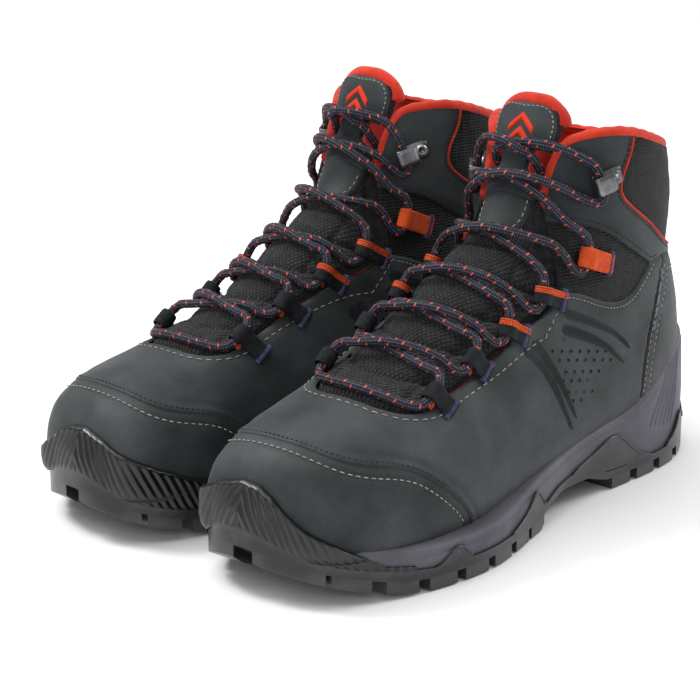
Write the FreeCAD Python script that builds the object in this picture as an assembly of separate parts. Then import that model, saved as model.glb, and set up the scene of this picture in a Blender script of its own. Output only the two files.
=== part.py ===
"""A pair of lace-up hiking boots, one STEP file per separate piece.

The left boot is modelled in its own frame (x outward, toe toward -y, ground z=0), then turned and
moved to its place beside the symmetry plane x=0.  The right boot is its mirror image.
All lengths are millimetres.
"""
import FreeCAD, Part
import math
import os

V = FreeCAD.Vector

# ---- driving dimensions --------------------------------------------------------------------
HALF_GAP = 53.0        # symmetry plane to the boot's own x=0
TOE_OUT = 3.0          # degrees each boot is turned outward
Y_SHIFT = 1.05         # centres the pair front to back
LEATHER = 1.8          # leather and softshell thickness
LINING = 3.7           # padded lining thickness
BOARD = 2.2            # lasting board thickness
BUMPER = 2.8           # rubber toe bumper thickness
TONGUE_GAP = 1.0       # free gap between lining and tongue
TONGUE_CORE = 4.0      # padded tongue thickness under the facings
TONGUE_BACK = 1.5      # tongue lining thickness
PAD_DROP = 1.6          # tongue face below the leather surface
PATCH, BADGE = 1.2, 0.8  # thickness of the tongue patches and of the emblem
LACE_R = 2.15          # lace radius
RING_R = 3.1           # inner radius of a lace loop
WEB_T = 1.1            # webbing thickness
PIPING = 2.6           # width of the collar binding
HOOK_W = 9.0           # width of a lace hook
AGLET_R, AGLET_L = 2.0, 13.0
SIDE = 90.0            # half length of the side-to-side cutters

# ---- outer surface of the upper: fan of sections from the toe round the ankle to the collar ----
# front/top y,z ; back/bottom y,z ; outer and inner half width ; share of the widest level ;
# exponents outer, inner, bottom ; share of an offset taken toward the toe ; centre x
STATIONS = [
    (-147.5, 45.0, -147.5, 30.0, 13.0, 17.0, 0.55, 2.2, 2.2, 3.0, 1.0, -4.5),
    (-145.0, 54.0, -146.0, 23.5, 24.5, 28.0, 0.60, 2.3, 2.3, 4.0, 0.9, -4.5),
    (-138.0, 61.5, -139.0, 19.5, 34.0, 35.5, 0.62, 2.3, 2.4, 5.0, 0.6, -4.0),
    (-124.0, 67.5, -125.0, 17.0, 42.5, 40.5, 0.64, 2.3, 2.5, 5.5, 0.25, -4.0),
    (-102.0, 72.5, -104.0, 14.5, 49.0, 43.0, 0.66, 2.2, 2.6, 5.5, 0.0, -4.5),
    (-78.0, 78.5, -78.0, 13.5, 52.0, 42.0, 0.68, 2.1, 2.7, 5.5, 0.0, -5.0),
    (-55.0, 88.0, -50.0, 14.0, 50.5, 39.5, 0.70, 2.0, 2.7, 5.5, 0.0, -5.0),
    (-33.0, 99.5, -20.0, 16.0, 46.5, 37.0, 0.70, 2.0, 2.6, 5.0, 0.0, -4.5),
    (-12.0, 112.5, 14.0, 18.5, 42.5, 35.5, 0.66, 2.1, 2.5, 4.5, 0.0, -3.0),
    (4.0, 123.5, 55.0, 21.0, 40.0, 35.0, 0.62, 2.1, 2.4, 4.0, 0.0, -1.5),
    (12.5, 133.0, 98.0, 23.0, 39.0, 35.5, 0.58, 2.1, 2.3, 3.5, 0.0, 0.0),
    (17.0, 140.0, 128.0, 27.0, 38.5, 36.0, 0.52, 2.1, 2.2, 2.9, 0.0, 0.5),
    (20.0, 146.5, 141.5, 44.0, 38.5, 36.0, 0.50, 2.1, 2.1, 2.4, 0.0, 0.5),
    (22.5, 152.0, 140.5, 66.0, 38.5, 36.0, 0.50, 2.1, 2.1, 2.3, 0.0, 0.5),
    (25.0, 158.0, 133.0, 88.0, 38.0, 36.0, 0.50, 2.1, 2.1, 2.3, 0.0, 0.5),
    (27.5, 164.0, 127.5, 106.0, 38.0, 36.5, 0.50, 2.1, 2.1, 2.3, 0.0, 0.5),
    (30.0, 170.0, 127.0, 125.0, 38.5, 37.0, 0.50, 2.1, 2.1, 2.3, 0.0, 0.5),
    (32.5, 177.0, 124.5, 142.0, 39.0, 38.0, 0.50, 2.1, 2.1, 2.3, 0.0, 0.5),
    (35.5, 184.0, 117.0, 158.0, 40.0, 38.5, 0.50, 2.1, 2.1, 2.3, 0.0, 0.5),
    (38.5, 192.0, 110.0, 172.0, 40.5, 39.0, 0.50, 2.1, 2.1, 2.3, 0.0, 0.5),
]
RING_POINTS = 36

# ---- side view lines (y, z) ----------------------------------------------------------------
TOE_SEAM = [(-134, 72), (-131, 64.5), (-121, 58.5), (-105, 54.5), (-95, 50.5), (-87, 45),
            (-76, 36), (-66, 26), (-58, 10)]
HEEL_SEAM = [(99, 108), (96, 101), (91, 87), (87, 73), (84.5, 62), (83.5, 52), (84, 42),
             (86, 30), (88, 10)]
ANKLE_LOW = [(5, 136), (25, 135), (40, 132), (50, 128.5), (62, 121.5), (76, 112.5), (85, 107)]
SHELL_LOW = [(85, 107), (78, 100), (69, 94), (58, 93), (47, 96), (35, 101), (20, 104.5), (5, 105)]
REAR_LINE = [(66, 178), (66.5, 164), (62.5, 153), (61.5, 146), (68, 138), (85, 126.5),
             (100, 116), (115, 110), (150, 106)]
COLLAR_TOP = [(20, 150), (30, 159), (34, 166), (39, 170.5), (47, 173), (61, 173.2), (76, 169.5),
              (95, 163), (112, 158.5), (140, 155)]
MIDSOLE_TOP = [(-165, 44), (-150, 34), (-140, 28), (-130, 25), (-120, 22.5), (-107, 20.5),
               (-90, 19.5), (-66, 19.5), (-50, 20), (-28, 22), (0, 25.5), (18, 28), (34, 30.5),
               (50, 32), (65, 33.5), (79, 36.5), (91, 41.5), (103, 49), (113, 56), (122, 60.5),
               (136, 63), (165, 64)]
OUTSOLE_TOP = [(-165, 34), (-153, 31), (-150.5, 27.5), (-147, 23.5), (-142, 20), (-135, 17.5),
               (-125, 15), (-115, 13), (-105, 11.3), (-95, 10), (-60, 9.5), (-10, 9.5), (0, 11.5),
               (12, 15), (24, 16.5), (36, 15.5), (46, 12), (56, 9.5), (66, 9), (118, 9),
               (130, 11.5), (140, 15), (149, 19), (165, 24)]
TREAD_LOW = [(-165, 23), (-153, 17), (-147, 12.5), (-140, 9.5), (-130, 6.3), (-120, 3.6),
             (-110, 1.6), (-100, 0.4), (-92, 0), (-8, 0), (-3, 3.5), (4, 8.5), (12, 10.8),
             (24, 12), (36, 11), (44, 7), (52, 2.5), (60, 0), (118, 0), (130, 2.5), (140, 6),
             (149, 11), (165, 18)]
TREAD_TOP = [(-165, 28.5), (-153, 22.5), (-147, 18), (-140, 15), (-130, 11.8), (-120, 9.1),
             (-110, 7.1), (-100, 5.9), (-92, 5.5), (-8, 5.5), (0, 8), (12, 11.4), (24, 12.9),
             (36, 11.9), (46, 8.4), (56, 5.5), (118, 5.5), (130, 8), (140, 11.5), (149, 16),
             (165, 20)]
FLAMES = [
    [(-98, 8), (-88, 12), (-80, 16.5), (-77, 14.5), (-70, 8)],
    [(-48, 8), (-36, 10.5), (-28, 12.5), (-20, 16), (-12, 20), (-9, 17.5), (0, 9)],
    [(14, 12), (30, 18), (40, 20.5), (50, 23.5), (59, 26), (66, 24.5), (74, 18), (84, 12), (95, 8)],
    [(104, 8), (112, 12), (118, 16), (123, 21.5), (127, 22), (131, 18), (137, 16.5), (142, 21),
     (148, 26), (153, 20), (153, 12), (130, 8)],
]
FOOTBED_TOP = [(-150, 34), (-136, 29.5), (-125, 27), (-104, 25), (-78, 24), (-50, 24.5),
               (-20, 27), (14, 30), (55, 33), (98, 36), (122, 40), (150, 44)]
# ---- plan and front view lines -------------------------------------------------------------
SOLE_PLAN = [(-8, -153), (8, -150.5), (20, -145.5), (31, -136), (41, -121), (49.5, -100),
             (54, -80), (55.5, -60), (53, -40), (48, -20), (43.5, 0), (40, 20), (38.5, 40),
             (38.5, 60), (39.5, 80), (39.5, 100), (36.5, 120), (29, 136), (17, 147), (0, 151.5),
             (-16, 147), (-27, 136), (-33.5, 120), (-36.5, 100), (-36.5, 80), (-35, 60),
             (-33.5, 40), (-33.5, 20), (-35, 0), (-38.5, -20), (-44, -40), (-49, -60), (-51, -80),
             (-50.5, -100), (-47, -120), (-40.5, -136), (-32, -146), (-22, -151.5)]
BUMPER_TOP = [(-58, 10), (-50, 22), (-44, 32), (-39, 37.5), (-33, 42), (-24, 47), (-10, 50.5),
              (0, 49.5), (7, 46), (14, 40.5), (22, 34), (30, 28), (37, 21), (46, 10)]
# ---- throat plane: s runs up the instep from the vamp, x across ------------------------------
THROAT_O = (-90.0, 75.0)
THROAT_T = (0.784, 0.6207)
THROAT = [(14, -1), (24, 2.5), (28.5, 9), (29.5, 22), (29.5, 50), (30.5, 80), (31, 98),
          (29, 110), (23, 122), (18.5, 133), (18, 145), (19, 152), (21.5, 160), (23.5, 170),
          (25, 200)]
TONGUE_EDGE = [(14, -8), (26, -4), (31, 4), (32, 22), (32, 60), (32, 90), (30, 102), (24, 113),
               (17.4, 123), (13.6, 131), (12.8, 140), (13, 152), (15, 162), (15, 168), (12, 173)]
TONGUE_LOW = [(-100, 48), (-84, 60), (-50, 74), (-30, 87), (10, 104), (24, 112), (36, 124),
              (48, 138), (60, 156)]     # side view of the tongue's lower edges
TUCK_NOTCH = (7.4, 140.5, 152.5)    # half x, s from, s to: room for the tucked lace ends
PATCH_TOP = [(9, 130.5), (13, 133), (13.4, 150), (14, 160), (13.5, 166), (9, 170)]
PATCH_LOW = [(5, 113), (10, 115.5), (13, 121), (13.5, 129)]
CHEVRON = [(-7, 0), (0, 5.5), (7, 0), (7, 3.4), (0, 8.9), (-7, 3.4)]
CHEVRON_S = (149.5, 155.5)
FACING = [(-84, 74), (-50, 77), (-20, 86), (10, 98), (24, 106)]    # side view of the facing edge
COUNTER = [(72, 34), (76, 58), (90, 80), (110, 88), (160, 90)]
SHANK = (20.0, -30.0, 92.0)         # half width, front, rear

# lace loops from the vamp up: tip x, tip s, tack y, tack z (side view)
LOOPS_OUT = [(26.5, 17, -62, 68), (25.5, 45, -33, 78), (26.5, 70, -5, 89), (27.5, 96, 23, 100),
             (31.5, 127, 54, 112)]
LOOPS_IN = [(27.5, 18, -64, 72), (26.5, 46, -35, 83), (26.5, 72, -8, 94), (27.0, 97, 21, 102),
            (28.0, 126, 50, 114)]
LOOP_W = 8.4
RING_H, TACK_H = 4.7, 1.6           # heights of ring centre and tack above the leather
HOOK_OUT, HOOK_IN = (50, 151), (41, 150)
UNDER, OVER = 4.5, 9.8              # lace heights where two strands cross over the tongue
TOP_LIFTS = (12.0, 5.4)             # the same where the two ends cross at the top
LOOP_OUT, TURN_RUN = 5.6, 5.8       # straight half length in a loop, first run beyond it
HOOK_OUT_RUN = 6.5                  # straight half length in a hook
# where a lace end dives in behind the collar edge: x outer side, x inner side, s along and
# n square to the instep line
TUCK = [(8.6, 8.6, 147.2, -1), (11.3, 11.2, 146.6, -5.5), (11.7, 11.4, 146.5, -11),
        (12.1, 11.7, 146.5, -17), (12.6, 12.1, 146.5, -23), (13.2, 12.6, 146.4, -29),
        (13.8, 13.0, 146.2, -34)]


def unit(v):
    return v * (1.0 / v.Length)


def spline(points, closed=False):
    curve = Part.BSplineCurve()
    curve.interpolate(Points=points, PeriodicFlag=closed)
    return curve.toShape()


def section(station, off):
    """Ring of points of the upper at an offset outward, starting at the middle of the bottom."""
    ty, tz, by, bz, wl, wm, sw, nl, nm, nb, ax, xc = station
    top, low = V(0, ty - ax * off, tz), V(0, by - ax * off, bz)
    along = unit(low - top)
    top, low = top - along * off, low + along * off
    dense = []
    steps = 240
    for side, w, n in ((-1, wm + off, nm), (1, wl + off, nl)):
        half = []
        for i in range(steps + 1):
            a = math.pi * i / steps
            sn, cs = abs(math.sin(a)), abs(math.cos(a))
            if 2 * i <= steps:
                x, s = w * sn ** (2 / n), sw * (1 - cs ** (2 / n))
            else:
                x, s = w * sn ** (2 / nb), sw + (1 - sw) * cs ** (2 / nb)
            half.append(V(xc + side * x, 0, 0) + top + (low - top) * s)
        dense += half[::-1] if side < 0 else half[1:]
    lengths = [0.0]
    for a, b in zip(dense, dense[1:]):
        lengths.append(lengths[-1] + (b - a).Length)
    points, j = [], 0
    for i in range(RING_POINTS):
        want = lengths[-1] * i / RING_POINTS
        while lengths[j + 1] < want:
            j += 1
        f = (want - lengths[j]) / (lengths[j + 1] - lengths[j])
        points.append(dense[j] + (dense[j + 1] - dense[j]) * f)
    return points + points[:1]


UPPER_CACHE = {}
SKINS = {}


def skinned(rings):
    """Solid through closed rings of points, with flat ends; also returns its surface."""
    surface = Part.BSplineSurface()
    surface.interpolate(rings)
    u0, u1 = surface.bounds()[:2]
    caps = [Part.Face(Part.Wire([surface.uIso(u).toShape()])) for u in (u0, u1)]
    shell = Part.Shell([surface.toShape()] + caps)
    shell.sewShape()
    return Part.Solid(Part.Shell(shell.Faces)), surface


def upper(off):
    """Solid bounded by the upper's outer surface moved outward by off."""
    if off not in UPPER_CACHE:
        UPPER_CACHE[off], SKINS[off] = skinned([section(s, off) for s in STATIONS])
    return UPPER_CACHE[off]


def outline(curves):
    """Closed wire from point lists; each list longer than two points becomes a smooth curve."""
    edges = []
    for pts in curves:
        if len(pts) > 2:
            edges.append(spline(pts))
        else:
            edges.append(Part.LineSegment(pts[0], pts[1]).toShape())
    return Part.Wire(edges)


def closed_by_lines(lists):
    """Join smooth lists end to start with straight lines where the ends do not meet."""
    out = []
    for i, pts in enumerate(lists):
        out.append(pts)
        nxt = lists[(i + 1) % len(lists)][0]
        if (nxt - pts[-1]).Length > 1e-6:
            out.append([pts[-1], nxt])
    return out


def side_block(lists, half=SIDE):
    """Side-to-side prism from side view (y, z) lists."""
    pts = [[V(-half, y, z) for y, z in lst] for lst in lists]
    return Part.Face(outline(closed_by_lines(pts))).extrude(V(2 * half, 0, 0))


def poly(points):
    """Split a point list into straight pieces."""
    return [[a, b] for a, b in zip(points, points[1:])]


def raised(line, dz, dy=0.0):
    return [(y + dy, z + dz) for y, z in line]


def below(line, z_low=-20):
    return side_block([line, [(180, line[-1][1]), (180, z_low)], [(-180, z_low), (-180, line[0][1])]])


def between(high, low):
    """Side-to-side prism between two side view polylines."""
    return side_block(poly(high) + poly(low[::-1]))


def throat_point(x, s, n):
    ty, tz = THROAT_T
    return V(x, THROAT_O[0] + s * ty - n * tz, THROAT_O[1] + s * tz + n * ty)


def throat_block(edge, shrink=0.0, n0=-52.0, n1=40.0, smooth=True):
    """Prism square to the instep line from a symmetric edge list (half x, s)."""
    right = [throat_point(x - shrink, s, n0) for x, s in edge]
    left = [throat_point(-(x - shrink), s, n0) for x, s in reversed(edge)]
    lists = [right, left] if smooth else poly(right) + poly(left)
    face = Part.Face(outline(closed_by_lines(lists)))
    return face.extrude(throat_point(0, 0, n1) - throat_point(0, 0, n0))


def skin():
    upper(0.0)
    return SKINS[0.0]


def hit(start, end):
    """First point where the segment from start meets the leather surface, and the normal there."""
    line = Part.LineSegment(start, end)
    found = line.intersectCS(skin())[0]
    pts = sorted((V(p.X, p.Y, p.Z) for p in found), key=lambda p: (p - start).Length)
    u, v = skin().parameter(pts[0])
    n = skin().normal(u, v)
    if n.dot(start - pts[0]) < 0:
        n = n * -1
    return pts[0], n


def on_instep(x, s, h):
    """Point at height h above the leather surface seen square to the instep line."""
    p, n = hit(throat_point(x, s, 60), throat_point(x, s, -60))
    return p + n * h


def on_side(side, y, z, h):
    p, n = hit(V(side * 80, y, z), V(0, y, z))
    return p + n * h


def slab(origin, d, w, m, profile, width):
    """Extrude a (d, m) profile polygon symmetrically along w."""
    pts = [origin + d * a + m * b - w * (width / 2.0) for a, b in profile]
    return Part.Face(Part.makePolygon(pts + pts[:1])).extrude(w * width)


def loop_frame(side, row):
    x, s, y, z = row
    ring = on_instep(side * x, s, RING_H)
    tack = on_side(side, y, z, TACK_H)
    d = unit(tack - ring)
    up = V(0, *THROAT_T)
    w = unit(up - d * up.dot(d))
    m = w.cross(d) if w.cross(d).x * side > 0 else d.cross(w)
    return ring, tack, d, w, m


def web_loop(side, row):
    """Folded webbing: a ring round the lace and a flat tail running back to its tack."""
    ring, tack, d, w, m = loop_frame(side, row)
    outer = Part.makeCylinder(RING_R + WEB_T, LOOP_W, ring - w * (LOOP_W / 2), w)
    hole = Part.makeCylinder(RING_R, LOOP_W + 2, ring - w * (LOOP_W / 2 + 1), w)
    length = (tack - ring).Length
    tail = slab(ring, d, w, m, [(0, -WEB_T), (length, -WEB_T), (length, WEB_T), (0, WEB_T)], LOOP_W)
    return outer.fuse(tail).cut(hole)


def hook_frame(side, place):
    base = on_side(side, place[0], place[1], 0.4)
    p, n = hit(V(side * 80, place[0], place[1]), V(0, place[0], place[1]))
    forward = V(0, -0.97, -0.25)
    d = unit(forward - n * forward.dot(n))
    w = n.cross(d) if n.cross(d).z > 0 else d.cross(n)
    return base, d, w, n


def hook(side, place):
    o, d, w, m = hook_frame(side, place)
    profile = [(-11, 0), (5.6, 0), (5.6, 7.4), (-4, 7.4), (-4, 6.2), (4.4, 6.2), (4.4, 1.2), (-11, 1.2)]
    body = slab(o, d, w, m, profile, HOOK_W)
    return body.cut(Part.makeCylinder(1.5, 3, o - d * 7.5 - m * 1, m))


def hook_rivet(side, place):
    o, d, w, m = hook_frame(side, place)
    shank = Part.makeCylinder(1.4, 1.4, o - d * 7.5, m)
    return shank.fuse(Part.makeCylinder(2.6, 1.0, o - d * 7.5 + m * 1.25, m))


def lace_points():
    """Route of the lace: tucked end, hook, down one way through the loops, back up the other."""
    def anchor(centre, w, inward, upward, reach=LOOP_OUT):
        """Straight through a loop or hook: its two ends with their outward directions."""
        k = 1 if upward else -1
        ends = [(centre + w * (t * reach) + inward * 0.2, w * t, t * k) for t in (-k, k)]
        return [ends[0], (centre, None, 0), ends[1]]

    def ring(side, i, upward):
        c, _, d, w, _ = loop_frame(side, (LOOPS_OUT if side > 0 else LOOPS_IN)[i])
        return anchor(c, w, d * -1, upward)

    def over_hook(side, upward):
        o, d, w, m = hook_frame(side, HOOK_OUT if side > 0 else HOOK_IN)
        return anchor(o + d * 1.3 + m * 3.75, w, d, upward, HOOK_OUT_RUN)

    def free(points):
        return [(p, None, 0) for p in points]

    def strand(side, i0, i1, lift):
        """Across the tongue from the given side at level i0 to the other side at level i1."""
        s0, s1 = levels[i0], levels[i1]
        low = 0.35 * lift + 4.2
        rows = [(17, 0.36, low), (0, 0.5, lift), (-17, 0.64, low)]
        if i0 == 4:
            rows.insert(0, (24.5 if side > 0 else 22, 0.2, 5.4))
        if i1 == 4:
            rows.append((-24.5 if side < 0 else -22, 0.8, 5.4))
        return free([on_instep(side * x, s0 + (s1 - s0) * f, h) for x, f, h in rows])

    def top_end(side, lift):
        """From the hook on the other side over the tongue and in behind the collar edge."""
        pts = [on_instep(-side * 17, 155.5, 5.2), on_instep(0, 151.3, lift),
               on_instep(side * 5.5, 148.4, 0.55 * lift + 1.8)]
        return free(pts + [throat_point(x if side > 0 else -x_in, s, n) for x, x_in, s, n in TUCK])

    levels = [row[1] for row in LOOPS_OUT] + [150.0]
    side = -1
    route = top_end(1, TOP_LIFTS[0])[::-1] + over_hook(side, False)
    for i in range(5, 0, -1):
        route += strand(side, i, i - 1, OVER if side > 0 else UNDER)
        side = -side
        route += ring(side, i - 1, False)
    route += free([on_instep(x * side, 4.5, 3.0) for x in (14, 0, -14)])
    side = -side
    route += ring(side, 0, True)
    for i in range(1, 6):
        route += strand(side, i - 1, i, OVER if side < 0 else UNDER)
        side = -side
        if i < 5:
            route += ring(side, i, True)
    route += over_hook(side, True) + top_end(-side, TOP_LIFTS[1])
    return with_turns(route)


def with_turns(route):
    """Adds a point halfway round each turn into and out of a loop or hook."""
    points = []
    for i, (p, outward, step) in enumerate(route):
        points.append(p)
        if step:
            toward = unit(route[i + step][0] - p)
            points.insert(len(points) - (step < 0), p + unit(toward + outward) * TURN_RUN)
    return points


def clean(shape, least=1.0):
    """Drops the thin leftovers of a boolean: solids smaller than the given volume."""
    solids = [s for s in shape.Solids if s.Volume > least]
    return solids[0] if len(solids) == 1 else Part.makeCompound(solids)


def build_left():
    parts = {}
    plan = Part.Face(Part.Wire([spline([V(x, y, -5) for x, y in SOLE_PLAN], True)]))
    plan_block = plan.extrude(V(0, 0, 90))

    # ---- upper shells ------------------------------------------------------------------
    outer, mid, inner = upper(0.0), upper(-LEATHER), upper(-LEATHER - LINING)
    throat = throat_block(THROAT)
    under_collar = below(COLLAR_TOP)
    shell = outer.cut(mid).common(under_collar).cut(throat)
    toe_zone = side_block([TOE_SEAM, [(-180, 10), (-180, 72)]])
    heel_zone = side_block([HEEL_SEAM, [(180, 10), (180, 98)]])
    shell_zone = side_block([ANKLE_LOW, SHELL_LOW])
    ankle_zone = side_block([ANKLE_LOW, [(99, 108), (180, 97)], REAR_LINE[::-1], [(5, 178), (5, 178.1)]])
    rear_zone = side_block([REAR_LINE, [(180, 106), (180, 178)]])
    parts["toe_cap"] = clean(shell.common(toe_zone))
    parts["heel_panel"] = clean(shell.common(heel_zone))
    softshell = shell.common(shell_zone)
    parts["softshell_outer"] = clean(softshell.common(Part.makeBox(90, 400, 300, V(0, -200, 0))))
    parts["softshell_inner"] = clean(softshell.common(Part.makeBox(90, 400, 300, V(-90, -200, 0))))
    parts["ankle_panel"] = clean(shell.common(ankle_zone).cut(heel_zone))
    parts["rear_collar"] = clean(shell.common(rear_zone))
    rest = shell.cut(toe_zone).cut(heel_zone).cut(shell_zone).cut(ankle_zone).cut(rear_zone)
    parts["quarters"] = clean(rest)

    # ---- sole --------------------------------------------------------------------------
    slab_part = plan_block.common(between(OUTSOLE_TOP, TREAD_TOP))
    tread_zone = plan_block.common(between(raised(TREAD_TOP, 0.5), TREAD_LOW))
    blocks = lug_blocks()
    lugs = tread_zone.common(blocks[0].multiFuse(blocks[1:]))
    skin_block = plan_block.cut(inset_plan(3.0).extrude(V(0, 0, 90)))
    flames = [skin_block.common(side_block(poly(f + f[:1]))) for f in FLAMES]
    outsole = slab_part.multiFuse([lugs] + flames).removeSplitter().cut(outer)
    parts["outsole"] = clean(outsole)
    toe_shell = upper(BUMPER)
    wrap = toe_shell.fuse(plan_block.common(Part.makeBox(200, 90, 40, V(-100, -170, -8))))
    front = Part.Face(outline(closed_by_lines(
        [[V(x, -175, z) for x, z in BUMPER_TOP]]))).extrude(V(0, 69, 0))
    bumper = wrap.common(front).common(between(raised(OUTSOLE_TOP, 40), OUTSOLE_TOP))
    bumper = bumper.cut(outer).cut(outsole)
    parts["toe_bumper"] = clean(bumper)
    half, y0, y1 = SHANK
    plate = Part.makeBox(2 * half, y1 - y0, 40, V(-half, y0, 0))
    parts["shank"] = clean(upper(2.0).cut(outer).common(plate))
    body = plan_block.fuse(toe_shell).common(between(MIDSOLE_TOP, OUTSOLE_TOP))
    midsole = body.cut(outer).cut(bumper).cut(outsole).cut(parts["shank"])
    parts["midsole"] = clean(midsole, 1000)

    # ---- inside ------------------------------------------------------------------------
    bed_zone = below(FOOTBED_TOP)
    board_zone = inset_plan(9.0).extrude(V(0, 0, 90)).common(bed_zone)
    board = mid.cut(upper(-LEATHER - BOARD)).common(board_zone)
    parts["lasting_board"] = clean(board)
    counter_zone = side_block([COUNTER, [(160, 30), (73, 30)]])
    counter = mid.cut(upper(-LEATHER - 1.2)).common(counter_zone).cut(board)
    parts["heel_counter"] = clean(counter)
    lining = mid.cut(inner).common(under_collar).cut(throat).cut(board).cut(counter)
    parts["lining"] = clean(lining)
    parts["footbed"] = clean(upper(-LEATHER - LINING - 0.5).common(bed_zone))

    # ---- tongue ------------------------------------------------------------------------
    lay = -LEATHER - LINING - TONGUE_GAP
    lay_1, lay_2 = lay - TONGUE_CORE, lay - TONGUE_CORE - TONGUE_BACK
    x0, s0, s1 = TUCK_NOTCH
    notch = throat_block([(40, s0), (40, s1)], n0=-60, smooth=False).cut(
        throat_block([(x0, s0 - 1), (x0, s1 + 1)], n0=-60, smooth=False))
    tongue_zone = throat_block(TONGUE_EDGE, n0=-60).cut(notch).cut(below(TONGUE_LOW))
    pad_zone = tongue_zone.common(throat_block([(x, s + 1.6) for x, s in THROAT], 1.6))
    core = upper(lay).cut(upper(lay_1)).common(tongue_zone)
    pad = upper(-PAD_DROP).cut(upper(lay)).common(pad_zone)
    parts["tongue"] = clean(core.fuse(pad).removeSplitter())
    parts["tongue_lining"] = clean(upper(lay_1).cut(upper(lay_2)).common(tongue_zone))
    face_layer = upper(PATCH - PAD_DROP).cut(upper(-PAD_DROP))
    parts["tongue_patch_top"] = clean(face_layer.common(throat_block(PATCH_TOP)).cut(notch))
    parts["tongue_patch_low"] = clean(face_layer.common(throat_block(PATCH_LOW)))
    badge_layer = upper(PATCH + BADGE - PAD_DROP).cut(upper(PATCH - PAD_DROP))
    badge = []
    for s_base in CHEVRON_S:
        pts = [throat_point(x, s_base + s, -30) for x, s in CHEVRON]
        prism = Part.Face(Part.makePolygon(pts + pts[:1])).extrude(throat_point(0, 0, 60)
                                                                   - throat_point(0, 0, 0))
        badge.append(badge_layer.common(prism))
    parts["tongue_emblem"] = clean(badge[0].fuse(badge[1]))
    gusset_zone = side_block([FACING, raised(FACING, -20)[::-1]])
    gusset = upper(lay).cut(upper(lay - 1.2)).common(gusset_zone)
    gusset = gusset.cut(throat_block(TONGUE_EDGE, n0=-60))
    parts["gussets"] = clean(gusset, 50)

    # ---- binding -----------------------------------------------------------------------
    thick = upper(0.8).cut(upper(-6.3))
    rim_zone = below(raised(COLLAR_TOP, PIPING, -1.0)).cut(under_collar)
    narrow = throat_block(THROAT, PIPING)
    collar_s = throat_block([(60, 133), (60, 220)], smooth=False)
    rim = thick.common(rim_zone).cut(narrow)
    front_rim = thick.common(throat.common(collar_s).cut(narrow)).common(under_collar)
    parts["collar_piping"] = clean(rim.fuse(front_rim))

    # ---- lacing ------------------------------------------------------------------------
    both = ((1, LOOPS_OUT), (-1, LOOPS_IN))
    for name, rows in (("loops_black", (0, 1)), ("loops_striped", (2, 3)), ("loops_orange", (4,))):
        parts[name] = Part.makeCompound([web_loop(s, lst[i]).cut(outer) for s, lst in both
                                         for i in rows])
    parts["lace_hooks"] = Part.makeCompound([hook(1, HOOK_OUT), hook(-1, HOOK_IN)])
    parts["hook_rivets"] = Part.makeCompound([hook_rivet(1, HOOK_OUT), hook_rivet(-1, HOOK_IN)])
    route = lace_points()
    parts["lace"] = round_tube(route, LACE_R)
    parts["aglets"] = Part.makeCompound([
        Part.makeCylinder(AGLET_R, AGLET_L, route[0], route[0] - route[1]),
        Part.makeCylinder(AGLET_R, AGLET_L, route[-1], route[-1] - route[-2])])
    return parts


def inset_plan(distance):
    """Sole outline moved inward, as a face."""
    pts = []
    n = len(SOLE_PLAN)
    for i, (x, y) in enumerate(SOLE_PLAN):
        a, b = SOLE_PLAN[i - 1], SOLE_PLAN[(i + 1) % n]
        tx, ty = b[0] - a[0], b[1] - a[1]
        k = distance / math.hypot(tx, ty)
        pts.append(V(x - ty * k, y + tx * k, -5))
    return Part.Face(Part.Wire([spline(pts, True)]))


def rounded_path(points):
    """Straight runs joined by tangent arcs, each arc as large as its two runs allow."""
    edges, radii, start = [], [], points[0]
    for a, p, b in zip(points, points[1:], points[2:]):
        u, v = unit(a - p), unit(b - p)
        half_turn = (math.pi - u.getAngle(v)) / 2
        cut = 0.45 * min((a - p).Length, (b - p).Length)
        radii.append(cut / math.tan(half_turn))
        middle = unit(u + v) * (radii[-1] / math.cos(half_turn) - radii[-1])
        edges.append(Part.LineSegment(start, p + u * cut).toShape())
        edges.append(Part.Arc(p + u * cut, p + middle, p + v * cut).toShape())
        start = p + v * cut
    edges.append(Part.LineSegment(start, points[-1]).toShape())
    return Part.Wire(edges), radii


def round_tube(points, radius):
    """Round solid along a rounded path; prints its length, tightest arcs and volume ratio."""
    path, radii = rounded_path(points)
    disc = Part.Face(Part.Wire([Part.Circle(points[0], unit(points[1] - points[0]), radius).toShape()]))
    solid = path.makePipe(disc)
    print("lace length %.1f, tightest radii %s, volume over section times length %.4f" % (
        path.Length, [round(r, 1) for r in sorted(radii)[:5]],
        solid.Volume / (math.pi * radius ** 2 * path.Length)))
    return solid


def lug_blocks():
    """Upright prisms that leave the tread lugs: edge lugs, centre chevrons, toe and heel lugs."""
    def quad(pts):
        pts = [V(x, y, -3) for x, y in pts]
        return Part.Face(Part.makePolygon(pts + pts[:1])).extrude(V(0, 0, 60))

    blocks = []
    for side in (1, -1):
        for y in (-128, -108, -88, -68, -48, -28, -10):
            blocks.append(quad([(side * 70, y - 8), (side * 70, y + 8), (side * 27, y + 4),
                                (side * 24, y - 3), (side * 27, y - 9)]))
        for y in (68, 88, 108):
            blocks.append(quad([(side * 60, y - 8), (side * 60, y + 8), (side * 20, y + 5),
                                (side * 18, y - 8)]))
        blocks.append(quad([(side * 6, 122), (side * 50, 119), (side * 50, 170), (side * 6, 170)]))
        blocks.append(quad([(side * 5 - 6, -139), (side * 40 - 6, -139), (side * 40 - 6, -170),
                            (side * 5 - 6, -170)]))
    for y in (-122, -102, -82, -62, -42, -22):
        blocks.append(quad([(-20, y - 4), (0, y - 9), (20, y - 4), (17, y + 5), (0, y + 1),
                            (-17, y + 5)]))
    for y in (74, 94, 112):
        blocks.append(quad([(-14, y - 3), (0, y - 7), (14, y - 3), (12, y + 5), (0, y + 2),
                            (-12, y + 5)]))
    return blocks


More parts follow.
